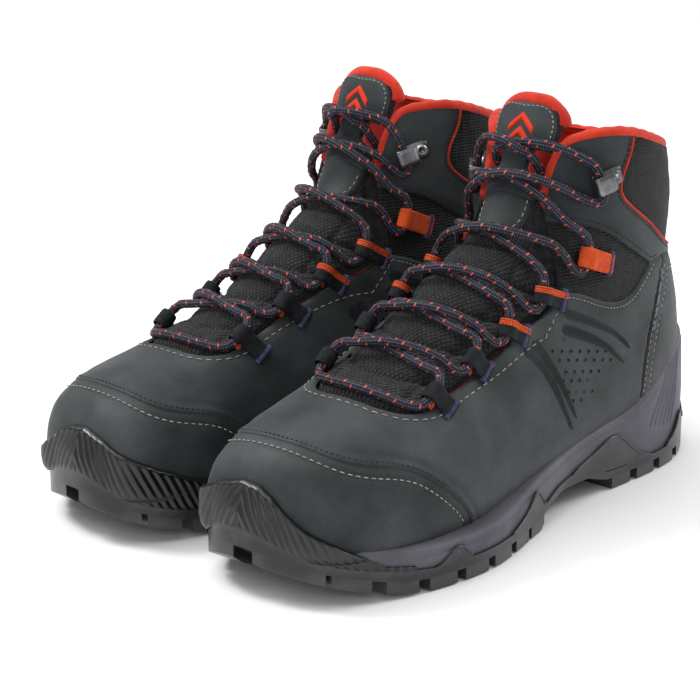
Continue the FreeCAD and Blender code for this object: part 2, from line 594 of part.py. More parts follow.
def place_left(shape):
    s = shape.copy()
    s.rotate(V(0, 0, 0), V(0, 0, 1), TOE_OUT)
    s.translate(V(HALF_GAP, Y_SHIFT, 0))
    return s


def main():
    os.makedirs("parts", exist_ok=True)
    for name, shape in build_left().items():
        left = place_left(shape)
        left.exportStep("parts/left_%s.step" % name)
        left.mirror(V(0, 0, 0), V(1, 0, 0)).exportStep("parts/right_%s.step" % name)


main()
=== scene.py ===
"""A pair of lace-up hiking boots: full-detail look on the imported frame.

The shapes are worked out in the left boot's own frame, in millimetres (x outward, toe toward -y,
ground z=0), then placed in the frame in metres.  The right boot is the mirror image.
"""
import math
import bpy
import numpy as np
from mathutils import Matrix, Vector
from mathutils.bvhtree import BVHTree


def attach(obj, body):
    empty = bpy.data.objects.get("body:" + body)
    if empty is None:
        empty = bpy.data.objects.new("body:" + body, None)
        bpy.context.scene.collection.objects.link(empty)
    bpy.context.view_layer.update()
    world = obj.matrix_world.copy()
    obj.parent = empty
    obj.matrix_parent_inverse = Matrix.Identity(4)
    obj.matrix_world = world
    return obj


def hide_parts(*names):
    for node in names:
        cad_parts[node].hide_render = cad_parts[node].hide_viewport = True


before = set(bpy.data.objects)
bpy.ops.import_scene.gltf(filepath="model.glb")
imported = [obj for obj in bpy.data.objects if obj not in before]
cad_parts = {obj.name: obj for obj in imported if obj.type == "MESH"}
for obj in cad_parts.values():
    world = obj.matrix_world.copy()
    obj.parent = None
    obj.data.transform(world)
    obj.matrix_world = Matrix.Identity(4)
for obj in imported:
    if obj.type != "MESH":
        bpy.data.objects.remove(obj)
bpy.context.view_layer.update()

# ---- driving dimensions, as in the part ----
HALF_GAP, TOE_OUT, Y_SHIFT = 53.0, math.radians(3.0), 1.05
LEATHER, LINING_DEPTH = 1.8, 5.5    # thickness; depth of the lining's face under the leather
TONGUE_FACE = 1.6                   # depth of the tongue's face under the leather
LACE_R, RING_R, WEB_T = 2.15, 3.1, 1.1
LOOP_W, HOOK_W = 8.4, 9.0
ROWS, COLUMNS = 330, 340            # lattice over the upper

# outer surface of the upper: front/top y,z ; back/bottom y,z ; outer and inner half width ; share
# of the widest level ; exponents outer, inner, bottom ; offset share toward the toe ; centre x
STATIONS = [
    (-147.5, 45.0, -147.5, 30.0, 13.0, 17.0, 0.55, 2.2, 2.2, 3.0, 1.0, -4.5),
    (-145.0, 54.0, -146.0, 23.5, 24.5, 28.0, 0.60, 2.3, 2.3, 4.0, 0.9, -4.5),
    (-138.0, 61.5, -139.0, 19.5, 34.0, 35.5, 0.62, 2.3, 2.4, 5.0, 0.6, -4.0),
    (-124.0, 67.5, -125.0, 17.0, 42.5, 40.5, 0.64, 2.3, 2.5, 5.5, 0.25, -4.0),
    (-102.0, 72.5, -104.0, 14.5, 49.0, 43.0, 0.66, 2.2, 2.6, 5.5, 0.0, -4.5),
    (-78.0, 78.5, -78.0, 13.5, 52.0, 42.0, 0.68, 2.1, 2.7, 5.5, 0.0, -5.0),
    (-55.0, 88.0, -50.0, 14.0, 50.5, 39.5, 0.70, 2.0, 2.7, 5.5, 0.0, -5.0),
    (-33.0, 99.5, -20.0, 16.0, 46.5, 37.0, 0.70, 2.0, 2.6, 5.0, 0.0, -4.5),
    (-12.0, 112.5, 14.0, 18.5, 42.5, 35.5, 0.66, 2.1, 2.5, 4.5, 0.0, -3.0),
    (4.0, 123.5, 55.0, 21.0, 40.0, 35.0, 0.62, 2.1, 2.4, 4.0, 0.0, -1.5),
    (12.5, 133.0, 98.0, 23.0, 39.0, 35.5, 0.58, 2.1, 2.3, 3.5, 0.0, 0.0),
    (17.0, 140.0, 128.0, 27.0, 38.5, 36.0, 0.52, 2.1, 2.2, 2.9, 0.0, 0.5),
    (20.0, 146.5, 141.5, 44.0, 38.5, 36.0, 0.50, 2.1, 2.1, 2.4, 0.0, 0.5),
    (22.5, 152.0, 140.5, 66.0, 38.5, 36.0, 0.50, 2.1, 2.1, 2.3, 0.0, 0.5),
    (25.0, 158.0, 133.0, 88.0, 38.0, 36.0, 0.50, 2.1, 2.1, 2.3, 0.0, 0.5),
    (27.5, 164.0, 127.5, 106.0, 38.0, 36.5, 0.50, 2.1, 2.1, 2.3, 0.0, 0.5),
    (30.0, 170.0, 127.0, 125.0, 38.5, 37.0, 0.50, 2.1, 2.1, 2.3, 0.0, 0.5),
    (32.5, 177.0, 124.5, 142.0, 39.0, 38.0, 0.50, 2.1, 2.1, 2.3, 0.0, 0.5),
    (35.5, 184.0, 117.0, 158.0, 40.0, 38.5, 0.50, 2.1, 2.1, 2.3, 0.0, 0.5),
    (38.5, 192.0, 110.0, 172.0, 40.5, 39.0, 0.50, 2.1, 2.1, 2.3, 0.0, 0.5),
]
# ---- side view lines (y, z) ----
TOE_SEAM = [(-134, 72), (-131, 64.5), (-121, 58.5), (-105, 54.5), (-95, 50.5), (-87, 45),
            (-76, 36), (-66, 26), (-58, 10)]
HEEL_SEAM = [(99, 108), (96, 101), (91, 87), (87, 73), (84.5, 62), (83.5, 52), (84, 42),
             (86, 30), (88, 10)]
ANKLE_LOW = [(5, 136), (25, 135), (40, 132), (50, 128.5), (62, 121.5), (76, 112.5), (85, 107)]
SHELL_LOW = [(85, 107), (78, 100), (69, 94), (58, 93), (47, 96), (35, 101), (20, 104.5), (5, 105)]
REAR_LINE = [(66, 178), (66.5, 164), (62.5, 153), (61.5, 146), (68, 138), (85, 126.5),
             (100, 116), (115, 110), (150, 106)]
COLLAR_TOP = [(20, 150), (30, 159), (34, 166), (39, 170.5), (47, 173), (61, 173.2), (76, 169.5),
              (95, 163), (112, 158.5), (140, 155)]
MIDSOLE_TOP = [(-165, 44), (-150, 34), (-140, 28), (-130, 25), (-120, 22.5), (-107, 20.5),
               (-90, 19.5), (-66, 19.5), (-50, 20), (-28, 22), (0, 25.5), (18, 28), (34, 30.5),
               (50, 32), (65, 33.5), (79, 36.5), (91, 41.5), (103, 49), (113, 56), (122, 60.5),
               (136, 63), (165, 64)]
OUTSOLE_TOP = [(-165, 34), (-153, 31), (-150.5, 27.5), (-147, 23.5), (-142, 20), (-135, 17.5),
               (-125, 15), (-115, 13), (-105, 11.3), (-95, 10), (-60, 9.5), (-10, 9.5), (0, 11.5),
               (12, 15), (24, 16.5), (36, 15.5), (46, 12), (56, 9.5), (66, 9), (118, 9),
               (130, 11.5), (140, 15), (149, 19), (165, 24)]
FOOTBED_TOP = [(-150, 34), (-136, 29.5), (-125, 27), (-104, 25), (-78, 24), (-50, 24.5),
               (-20, 27), (14, 30), (55, 33), (98, 36), (122, 40), (150, 44)]
FLAME_EDGES = [
    [(-98, 8), (-88, 12), (-80, 16.5), (-77, 14.5), (-70, 8)],
    [(-48, 8), (-36, 10.5), (-28, 12.5), (-20, 16), (-12, 20), (-9, 17.5), (0, 9)],
    [(14, 12), (30, 18), (40, 20.5), (50, 23.5), (59, 26), (66, 24.5), (74, 18), (84, 12), (95, 8)],
    [(104, 8), (112, 12), (118, 16), (123, 21.5), (127, 22), (131, 18), (137, 16.5), (142, 21),
     (148, 26), (153, 20)],
]
SOLE_PLAN = [(-8, -153), (8, -150.5), (20, -145.5), (31, -136), (41, -121), (49.5, -100),
             (54, -80), (55.5, -60), (53, -40), (48, -20), (43.5, 0), (40, 20), (38.5, 40),
             (38.5, 60), (39.5, 80), (39.5, 100), (36.5, 120), (29, 136), (17, 147), (0, 151.5),
             (-16, 147), (-27, 136), (-33.5, 120), (-36.5, 100), (-36.5, 80), (-35, 60),
             (-33.5, 40), (-33.5, 20), (-35, 0), (-38.5, -20), (-44, -40), (-49, -60), (-51, -80),
             (-50.5, -100), (-47, -120), (-40.5, -136), (-32, -146), (-22, -151.5)]
BUMPER_TOP = [(-58, 10), (-50, 22), (-44, 32), (-39, 37.5), (-33, 42), (-24, 47), (-10, 50.5),
              (0, 49.5), (7, 46), (14, 40.5), (22, 34), (30, 28), (37, 21), (46, 10)]
# ---- throat: s runs up the instep, n square to it, x across ----
THROAT_O, THROAT_T = (-90.0, 75.0), (0.784, 0.6207)
THROAT = [(14, -1), (24, 2.5), (28.5, 9), (29.5, 22), (29.5, 50), (30.5, 80), (31, 98),
          (29, 110), (23, 122), (18.5, 133), (18, 145), (19, 152), (21.5, 160), (23.5, 170),
          (25, 200)]
TONGUE_EDGE = [(14, -8), (26, -4), (31, 4), (32, 22), (32, 60), (31, 90), (28, 102), (22.5, 113),
               (17, 123), (15.5, 131), (15.5, 140), (17, 152), (19.5, 160), (19, 167), (14, 173)]
TUCK_NOTCH = (7.4, 140.5, 152.5)            # half width, s from, s to
PATCH_TOP = [(13, 130.5), (15, 134), (15, 142), (16, 152), (17.5, 160), (16.5, 165), (11, 168.5)]
PATCH_LOW = [(4, 112.5), (9.5, 114.8), (13, 120), (14, 127), (14, 132)]
CHEVRON_S = (149.5, 155.5)
CHEVRON_HALF, CHEVRON_RISE, CHEVRON_BAR = 7.0, 5.5, 3.4
# ---- lace loops: ring x, s on the instep ; bar tack y, z on the side ----
LOOPS_OUT = [(26.5, 17, -62, 68), (25.5, 45, -33, 78), (26.5, 70, -5, 89), (27.5, 96, 23, 100),
             (31.5, 127, 54, 112)]
LOOPS_IN = [(27.5, 18, -64, 72), (26.5, 46, -35, 83), (26.5, 72, -8, 94), (27.0, 97, 21, 102),
            (28.0, 126, 50, 114)]
RING_H, TACK_H = 4.7, 1.6           # heights of ring and bar tack over the leather
HOOK_OUT, HOOK_IN = (50, 151), (41, 150)
UNDER, OVER = 4.5, 9.8              # heights of the two strands where they cross
TOP_LIFTS = (12.0, 5.4)             # the same at the tongue's top
LOOP_OUT, HOOK_OUT_RUN = 5.6, 6.5   # straight run of the lace beyond a loop's or a hook's middle
TURN_RUN = 5.8                      # run of the lace's bend after it
# tucked lace ends, one row a point: x on the left, x on the right, s, n
TUCK = [(8.6, 8.6, 147.2, -1), (11.3, 11.2, 146.6, -5.5), (11.7, 11.4, 146.5, -11),
        (12.1, 11.7, 146.5, -17), (12.6, 12.1, 146.5, -23), (13.2, 12.6, 146.4, -29),
        (13.8, 13.0, 146.2, -34)]
# pressed pleats and the perforated field, both in side view
PLEATS = [[(-7, 84), (3, 72), (13, 57), (24, 39)], [(-1, 86), (8, 73), (18, 58), (27, 44)],
          [(22, 95), (39, 87.5), (54, 80), (70, 68)], [(19, 88), (35, 81.5), (50, 73.5), (65, 62)]]
PERFORATED = [(5, 79), (18, 85), (60, 69), (44, 54), (29, 45), (20, 56)]


# ---- curves and fields ----
def cubic(t, values, at):
    """Natural cubic spline through values at the knots t, read at the given places."""
    t, v, at = np.asarray(t, float), np.asarray(values, float), np.asarray(at, float)
    n, h = len(t), np.diff(t)
    flat = v.reshape(n, -1)
    a = np.zeros((n, n))
    b = np.zeros_like(flat)
    a[0, 0] = a[-1, -1] = 1.0
    for i in range(1, n - 1):
        a[i, i - 1], a[i, i], a[i, i + 1] = h[i - 1], 2 * (h[i - 1] + h[i]), h[i]
        b[i] = 6 * ((flat[i + 1] - flat[i]) / h[i] - (flat[i] - flat[i - 1]) / h[i - 1])
    m = np.linalg.solve(a, b)
    k = np.clip(np.searchsorted(t, at) - 1, 0, n - 2)
    p, q, w = (at - t[k])[:, None], (t[k + 1] - at)[:, None], h[k][:, None]
    out = (m[k] * q ** 3 + m[k + 1] * p ** 3) / (6 * w) + (flat[k] / w - m[k] * w / 6) * q \
        + (flat[k + 1] / w - m[k + 1] * w / 6) * p
    return out.reshape((len(at),) + v.shape[1:])


def arc(points):
    """Length along a line at each of its points."""
    p = np.asarray(points, float)
    return np.concatenate([[0], np.cumsum(np.linalg.norm(np.diff(p, axis=0), axis=1))])


def tangents(points):
    t = np.gradient(points, axis=0)
    return t / np.linalg.norm(t, axis=1)[:, None]


def smooth(points, step=1.5):
    t = arc(points)
    return cubic(t, points, np.linspace(0, t[-1], max(2, int(t[-1] / step))))


def resample(points, step, *more):
    """Points at even spacing along a line, with the same places read from other arrays."""
    t = arc(points)
    at = np.linspace(0, t[-1], max(2, int(round(t[-1] / step)) + 1))
    out = [np.stack([np.interp(at, t, column) for column in a.T], 1) for a in (points,) + more]
    return out if more else out[0]


def read(line, y):
    """Height of a side view line at y."""
    line = np.asarray(line, float)
    return np.interp(y, line[:, 0], line[:, 1])


def inside(a, b, polygon):
    """Distance into a closed polygon, negative outside it."""
    poly = np.asarray(polygon, float)
    p, q = poly, np.roll(poly, -1, axis=0)
    best, odd = np.full(a.shape, 1e9), np.zeros(a.shape, bool)
    for (x0, y0), (x1, y1) in zip(p, q):
        dx, dy = x1 - x0, y1 - y0
        k = np.clip(((a - x0) * dx + (b - y0) * dy) / max(dx * dx + dy * dy, 1e-12), 0, 1)
        best = np.minimum(best, (a - x0 - k * dx) ** 2 + (b - y0 - k * dy) ** 2)
        if y0 != y1:
            odd ^= ((y0 > b) != (y1 > b)) & (a < (b - y0) * dx / dy + x0)
    return np.where(odd, 1, -1) * np.sqrt(best)


def wave_noise(a, b, c, size, seed):
    """Smooth deterministic unevenness of about the given size, between -1 and 1."""
    rng = np.random.RandomState(seed)
    total = np.zeros(np.shape(a))
    for k in range(7):
        d = rng.normal(size=3)
        d *= (0.7 + 0.7 * rng.rand()) * 2 * math.pi / size / np.linalg.norm(d)
        total += np.sin(a * d[0] + b * d[1] + c * d[2] + rng.rand() * 7)
    return total / 4


# ---- surface of the upper ----
def ring(station, off):
    """Evenly spaced closed ring of the upper at an offset outward, from the middle of the bottom."""
    ty, tz, by, bz, wl, wm, sw, nl, nm, nb, ax, xc = station
    top, low = np.array([ty - ax * off, tz]), np.array([by - ax * off, bz])
    along = (low - top) / np.linalg.norm(low - top)
    top, low = top - along * off, low + along * off
    a = np.linspace(0, math.pi, 400)
    sn, cs = np.abs(np.sin(a)), np.abs(np.cos(a))
    upper_half = a <= math.pi / 2
    halves = []
    for side, w, n in ((-1, wm + off, nm), (1, wl + off, nl)):
        x = side * w * np.where(upper_half, sn ** (2 / n), sn ** (2 / nb)) + xc
        s = np.where(upper_half, sw * (1 - cs ** (2 / n)), sw + (1 - sw) * cs ** (2 / nb))
        yz = top + (low - top) * s[:, None]
        halves.append(np.column_stack([x, yz]))
    dense = np.vstack([halves[0][::-1], halves[1][1:]])
    t = arc(dense)
    at = np.linspace(0, t[-1], COLUMNS + 1)[:-1]
    return np.stack([np.interp(at, t, dense[:, i]) for i in range(3)], 1)


def lattice(off):
    """Even rows of rings over the whole upper, from the toe end to the collar."""
    rings = np.stack([ring(s, off) for s in STATIONS])
    step = np.linalg.norm(np.diff(rings, axis=0), axis=2).mean(1)
    t = np.concatenate([[0], np.cumsum(step)])
    return cubic(t, rings, np.linspace(0, t[-1], ROWS))


SURF = lattice(0.0)                          # points of the leather surface
OUT = (SURF - lattice(-8.0)) / 8.0           # shift per millimetre of offset
X, Y, Z = SURF[..., 0], SURF[..., 1], SURF[..., 2]
S_UP = (Y - THROAT_O[0]) * THROAT_T[0] + (Z - THROAT_O[1]) * THROAT_T[1]
N_UP = -(Y - THROAT_O[0]) * THROAT_T[1] + (Z - THROAT_O[1]) * THROAT_T[0]


def tree(off):
    """The upper at an offset as a surface for rays, its open toe end capped."""
    points = (SURF + OUT * off).reshape(-1, 3)
    points = np.vstack([points, points[:COLUMNS].mean(0)])
    i, j = np.meshgrid(np.arange(ROWS - 1), np.arange(COLUMNS), indexing="ij")
    k = (j + 1) % COLUMNS
    quads = np.stack([i * COLUMNS + j, i * COLUMNS + k, (i + 1) * COLUMNS + k, (i + 1) * COLUMNS + j], -1)
    cap = [[k, (k + 1) % COLUMNS, len(points) - 1] for k in range(COLUMNS)]
    return BVHTree.FromPolygons([Vector(p) for p in points], quads.reshape(-1, 4).tolist() + cap)


LEATHER_TREE = tree(0.0)


def throat_point(x, s, n):
    ty, tz = THROAT_T
    return np.array([x, THROAT_O[0] + s * ty - n * tz, THROAT_O[1] + s * tz + n * ty])


def cast(start, aim, surface=None):
    """Where the line from start to aim first meets the surface, and the normal facing start."""
    start, aim = Vector(start), Vector(aim)
    place, normal, _, _ = (surface or LEATHER_TREE).ray_cast(start, (aim - start).normalized())
    if place is None:
        place, normal, _, _ = (surface or LEATHER_TREE).find_nearest((start + aim) / 2)
    if normal.dot(start - place) < 0:
        normal = -normal
    return np.array(place), np.array(normal)


def on_instep(x, s, h):
    """Point at height h over the leather surface, at x and s of the throat frame."""
    p, n = cast(throat_point(x, s, 60), throat_point(x, s, -60))
    return p + n * h


def on_side(side, y, z, h):
    """Point at height h over the leather surface, at y and z of the side view."""
    p, n = cast((side * 80, y, z), (0, y, z))
    return p + n * h


def unit(v):
    v = np.asarray(v, float)
    return v / np.linalg.norm(v)


# ---- fields over the lattice: distance into each panel ----
def region(*lists):
    """Closed outline: long lists as smooth lines, pairs of points as straight ones."""
    return np.vstack([smooth(l) if len(l) > 2 else np.asarray(l, float) for l in lists])


IN_TOE = inside(Y, Z, region(TOE_SEAM, [(-180, 10), (-180, 72)]))
IN_HEEL = inside(Y, Z, region(HEEL_SEAM, [(180, 10), (180, 98)]))
IN_SHELL = inside(Y, Z, region(ANKLE_LOW, SHELL_LOW))
IN_ANKLE = inside(Y, Z, region(ANKLE_LOW, [(99, 108), (180, 97)], REAR_LINE[::-1], [(5, 178), (5, 177)]))
IN_REAR = inside(Y, Z, region(REAR_LINE, [(180, 106), (180, 178)]))
BELOW_COLLAR = inside(Y, Z, region(COLLAR_TOP, [(190, 150), (190, -30)], [(-190, -30), (-190, 150)]))
throat_line = smooth(THROAT)
throat_loop = np.vstack([throat_line, (throat_line * [-1, 1])[::-1]])
IN_THROAT = np.where(N_UP > -52, inside(X, S_UP, throat_loop), -60.0)
ABOVE_SOLE = Z - read(MIDSOLE_TOP, Y) + 4.0
SHELL_ALL = np.minimum.reduce([BELOW_COLLAR, -IN_THROAT, ABOVE_SOLE])
QUARTERS = np.minimum.reduce([SHELL_ALL, -IN_TOE, -IN_HEEL, -IN_SHELL, -IN_ANKLE, -IN_REAR])


def sample(field, u, v):
    """Bilinear reading of a lattice array at fractional row u and column v."""
    u = np.clip(u, 0, ROWS - 1.001)
    i, j = np.floor(u).astype(int), np.floor(v).astype(int)
    fu, fv = u - i, v - j
    j0, j1 = j % COLUMNS, (j + 1) % COLUMNS
    if field.ndim == 3:
        fu, fv = fu[:, None], fv[:, None]
    return (field[i, j0] * (1 - fv) + field[i, j1] * fv) * (1 - fu) \
        + (field[i + 1, j0] * (1 - fv) + field[i + 1, j1] * fv) * fu


def panel(field, base, edge=1.0, round_off=0.7, relief=0.0, thick=LEATHER):
    """Mesh of the part of the lattice where field is positive, trimmed to its outline."""
    ring_field = np.concatenate([field, field[:, :1]], 1)
    keep = (ring_field[:-1, :-1] + ring_field[1:, :-1] + ring_field[:-1, 1:] + ring_field[1:, 1:]) > 0
    i, j = np.nonzero(keep)
    k = (j + 1) % COLUMNS
    cells = np.stack([i * COLUMNS + j, i * COLUMNS + k, (i + 1) * COLUMNS + k, (i + 1) * COLUMNS + j], 1)
    used, index = np.unique(cells, return_inverse=True)
    faces = index.reshape(cells.shape)
    count = np.bincount(faces.ravel(), minlength=len(used))
    rim = count < 4
    u, v = (used // COLUMNS).astype(float), (used % COLUMNS).astype(float)
    gu = np.gradient(field, axis=0)
    gv = (np.roll(field, -1, 1) - np.roll(field, 1, 1)) / 2
    for _ in range(3):
        f, a, b = sample(field, u, v), sample(gu, u, v), sample(gv, u, v)
        size = np.maximum(a * a + b * b, 1e-4)
        u = np.where(rim, u - np.clip(f * a / size, -0.7, 0.7), u)
        v = np.where(rim, v - np.clip(f * b / size, -0.7, 0.7), v)
    deep = np.where(rim, 0.0, np.maximum(sample(field, u, v), 0.0))
    curve = 1 - np.sqrt(np.maximum(1 - (1 - np.minimum(deep / edge, 1)) ** 2, 0))
    lift = base - round_off * curve
    if np.ndim(relief):
        lift = lift + sample(relief, u, v)
    at, out = sample(SURF, u, v), sample(OUT, u, v)
    top = at + out * lift[:, None]
    under = at + out * (base - thick)
    edges = {}
    for a, b in faces[:, [0, 1, 1, 2, 2, 3, 3, 0]].reshape(-1, 2):
        edges[(a, b)] = (b, a) not in edges and (a, b) not in edges
        if (b, a) in edges:
            edges[(b, a)] = edges[(a, b)] = False
    rims = [(a, b) for (a, b), alone in edges.items() if alone]
    extra = {}
    for a, b in rims:
        for q in (a, b):
            extra.setdefault(q, len(used) + len(extra))
    verts = np.vstack([top, under[list(extra)]]) if extra else top
    quads = faces.tolist() + [[b, a, extra[a], extra[b]] for a, b in rims]
    return verts, quads


def contours(field, where=None):
    """Lines where the field is zero: each as its points and the offset directions there."""
    wrap = np.concatenate([field, field[:, :1]], 1)
    sign = wrap > 0
    links = {}

    def crossing(i, j, di, dj):
        a, b = wrap[i, j], wrap[i + di, j + dj]
        t = a / (a - b)
        return (i + di * t, j + dj * t)

    cells = np.argwhere((sign[:-1, :-1] != sign[1:, :-1]) | (sign[:-1, :-1] != sign[:-1, 1:])
                        | (sign[:-1, :-1] != sign[1:, 1:]))
    spots = {}
    for i, j in cells:
        keys = []
        for (a, b, di, dj) in ((i, j, 0, 1), (i + 1, j, 0, 1), (i, j, 1, 0), (i, j + 1, 1, 0)):
            if sign[a, b] != sign[a + di, b + dj]:
                key = (a, b % COLUMNS, di)
                spots[key] = crossing(a, b, di, dj)
                keys.append(key)
        for p, q in zip(keys[::2], keys[1::2]):
            links.setdefault(p, []).append(q)
            links.setdefault(q, []).append(p)
    lines, seen = [], set()
    for start in sorted(links, key=lambda key: len(links[key])):
        if start in seen:
            continue
        line, key = [start], start
        seen.add(start)
        while True:
            ahead = [n for n in links[key] if n not in seen]
            if not ahead:
                break
            key = ahead[0]
            seen.add(key)
            line.append(key)
        if len(line) > 12:
            u, v = np.array([spots[q] for q in line]).T
            pts, out = sample(SURF, u, v), sample(OUT, u, v)
            ok = np.ones(len(pts), bool) if where is None else sample(where, u, v) > 0
            for piece in np.split(np.arange(len(pts)), np.nonzero(np.diff(ok.astype(int)))[0] + 1):
                if ok[piece[0]] and len(piece) > 8:
                    lines.append((pts[piece], out[piece]))
    return lines


# ---- materials ----
class Look:
    """A procedural material and the few kinds of node that it is made of."""

    def __init__(self, name):
        self.mat = bpy.data.materials.new(name)
        self.mat.use_nodes = True
        self.shader = self.mat.node_tree.nodes["Principled BSDF"]
        self.place = self.add("TexCoord", {}, "Object")

    def feed(self, node, inputs):
        for socket, value in inputs.items():
            if isinstance(value, bpy.types.NodeSocket):
                self.mat.node_tree.links.new(value, node.inputs[socket])
            else:
                node.inputs[socket].default_value = value

    def add(self, kind, inputs, output, **settings):
        node = self.mat.node_tree.nodes.new("ShaderNode" + kind)
        for key, value in settings.items():
            setattr(node, key, value)
        self.feed(node, inputs)
        return node.outputs[output]

    def noise(self, scale, detail=4.0):
        return self.add("TexNoise", {"Vector": self.place, "Scale": scale, "Detail": detail}, "Fac")

    def mixed(self, kind, fac, a, b):
        return self.add("Mix", {0: fac, 6: a, 7: b}, 2, data_type="RGBA", blend_type=kind)

    def ramp(self, fac, low, high):
        return self.add("MapRange", {"Value": fac, "From Min": low, "From Max": high}, "Result")

    def math(self, kind, a, b):
        return self.add("Math", {0: a, 1: b}, 0, operation=kind)

    def along(self):
        """The two coordinates of the piece's own layout."""
        split = self.add("SeparateXYZ", {0: self.add("UVMap", {}, "UV")}, 0).node
        return split.outputs[0], split.outputs[1]


def look(name, dark, light, rough=0.8, patch=60.0, grain=900.0, bump=0.25, depth=0.0002,
         sheen=0.0, metal=0.0, coat=0.0, weave=0.0, wear=None, shine=0.2):
    """Procedural surface: cloudy colour, fine grain, optional woven relief, and a lighter colour on sharp
    edges: worn edges on the metal, painted highlight on the rubber's edges.
    """
    made = Look(name)
    mixed = made.mixed
    clouds = made.ramp(made.noise(patch, 5.0), 0.33, 0.68)
    colour = mixed("MIX", clouds, (*dark, 1.0), (*light, 1.0))
    specks = made.ramp(made.noise(grain, 2.0), 0.25, 0.75)
    specks = mixed("MIX", specks, (0.45, 0.45, 0.45, 1.0), (1.4, 1.4, 1.4, 1.0))
    colour = mixed("MULTIPLY", 0.35, colour, specks)
    height = made.noise(grain, 3.0)
    if weave:
        bands = {"Vector": made.place, "Scale": weave, "Distortion": 1.2, "Detail Scale": 2.0}
        threads = [made.add("TexWave", bands, "Color", bands_direction=axis) for axis in "XYZ"]
        cloth = mixed("MULTIPLY", 1.0, mixed("ADD", 1.0, threads[0], threads[1]), threads[2])
        colour = mixed("MULTIPLY", 0.5, colour, mixed("ADD", 0.5, cloth, (0.45, 0.45, 0.45, 1.0)))
        height = mixed("MIX", 0.6, height, cloth)
    # lighter colour on sharp edges (Pointiness): worn edges on the metal, painted highlight on the rubber's
    # edges
    if wear is not None:
        edges = made.add("NewGeometry", {}, "Pointiness")
        colour = mixed("MIX", made.ramp(edges, 0.51, 0.57), colour, (*wear, 1.0))
    spread = {"Value": made.noise(patch * 3), "To Min": max(rough - 0.12, 0.0),
              "To Max": min(rough + 0.1, 1.0)}
    relief = {"Height": height, "Strength": bump, "Distance": depth}
    made.feed(made.shader, {
        "Base Color": colour, "Roughness": made.add("MapRange", spread, "Result"), "Metallic": metal,
        "Specular IOR Level": shine, "Sheen Weight": sheen, "Coat Weight": coat,
        "Normal": made.add("Bump", relief, "Normal")})
    return made


def material(*colours, **how):
    return look(*colours, **how).mat


def mesh_cloth_material():
    """Tongue face: dark cloth with a small diamond mesh laid out by x and s."""
    made = look("tongue_mesh", (0.012, 0.012, 0.014), (0.036, 0.035, 0.040), rough=0.8, patch=220,
                grain=900, bump=0.8, depth=0.0004, weave=500, sheen=0.1)
    base, normal = [made.shader.inputs[s].links[0].from_socket for s in ("Base Color", "Normal")]
    x, s = made.along()
    lean = made.math("MULTIPLY", s, 0.75)
    one, two = [made.math("PINGPONG", made.math(kind, x, lean), 1.15) for kind in ("ADD", "SUBTRACT")]
    cell = made.math("MULTIPLY", made.math("MINIMUM", one, two), 1.6)
    relief = {"Height": cell, "Strength": 0.8, "Distance": 0.0005, "Normal": normal}
    made.feed(made.shader, {"Base Color": made.mixed("MULTIPLY", 0.75, base, cell),
                            "Normal": made.add("Bump", relief, "Normal")})
    return made.mat


def lace_material():
    """Round braid: dark strands with pale flecks and two orange tracers winding round."""
    made = look("lace_braid", (0.008, 0.009, 0.016), (0.02, 0.022, 0.034), rough=0.7, grain=1500)
    base = made.shader.inputs["Base Color"].links[0].from_socket
    along, around = made.along()

    def repeats(value, times):
        return made.math("FRACT", made.math("MULTIPLY", value, times), 0.0)

    def tracer(phase):
        wound = made.math("ADD", made.math("MULTIPLY", along, 0.21), around)
        return made.math("LESS_THAN", made.math("FRACT", made.math("ADD", wound, phase), 0.0), 0.11)

    pale = made.math("MULTIPLY", made.math("GREATER_THAN", repeats(along, 1.9), 0.5),
                     made.math("LESS_THAN", repeats(around, 8.0), 0.4))
    dash = made.math("LESS_THAN", repeats(along, 0.62), 0.26)
    orange = made.math("MAXIMUM", *[made.math("MULTIPLY", tracer(phase), dash) for phase in (0.0, 0.5)])
    colour = made.mixed("MIX", pale, base, (0.085, 0.088, 0.12, 1))
    colour = made.mixed("MIX", orange, colour, (0.66, 0.085, 0.035, 1))
    made.feed(made.shader, {"Base Color": colour})
    return made.mat


NUBUCK = material("nubuck", (0.012, 0.0155, 0.0165), (0.043, 0.051, 0.054), rough=0.6, patch=30,
                  grain=1300, bump=0.3, depth=0.0003, sheen=0.1, shine=0.22)
NUBUCK_DARK = material("nubuck_pressed", (0.009, 0.011, 0.012), (0.022, 0.026, 0.027), rough=0.6, patch=60,
                       grain=1600, bump=0.3)
SOFTSHELL = material("softshell", (0.004, 0.0045, 0.005), (0.013, 0.014, 0.016), rough=0.7, patch=420,
                     grain=620, bump=0.9, depth=0.0006, weave=210, shine=0.3)
TEXTILE = material("tongue_textile", (0.012, 0.012, 0.014), (0.036, 0.035, 0.040), rough=0.85, patch=220,
                   grain=800, bump=0.8, depth=0.0004, weave=500, sheen=0.12)
FLEECE = material("orange_lining", (0.36, 0.012, 0.004), (0.62, 0.032, 0.010), rough=0.9, patch=60,
                  grain=1200, bump=0.5, depth=0.0004, sheen=0.2)
BINDING = material("orange_binding", (0.48, 0.020, 0.006), (0.68, 0.042, 0.012), rough=0.75, patch=90,
                   grain=1200, bump=0.35, weave=1100, sheen=0.1)
# edge colour of the rubber: painted highlight on its sharp edges
RUBBER = material("black_rubber", (0.0025, 0.0025, 0.0032), (0.0065, 0.0065, 0.008), rough=0.33, patch=50,
                  grain=900, bump=0.12, depth=0.00015, wear=(0.03, 0.03, 0.034), shine=0.5)
FOAM = material("grey_foam", (0.078, 0.073, 0.090), (0.125, 0.117, 0.140), rough=0.55, patch=35,
                grain=1500, bump=0.2, depth=0.00015)
WEB_BLACK = material("black_webbing", (0.005, 0.006, 0.008), (0.016, 0.018, 0.024), rough=0.75, patch=300,
                     grain=1400, bump=0.5, weave=1300)
WEB_ORANGE = material("orange_webbing", (0.60, 0.060, 0.010), (0.78, 0.105, 0.018), rough=0.7, patch=200,
                      grain=1400, bump=0.5, weave=1300)
THREAD = material("pale_thread", (0.22, 0.215, 0.195), (0.40, 0.39, 0.36), rough=0.7, patch=500, grain=2500)
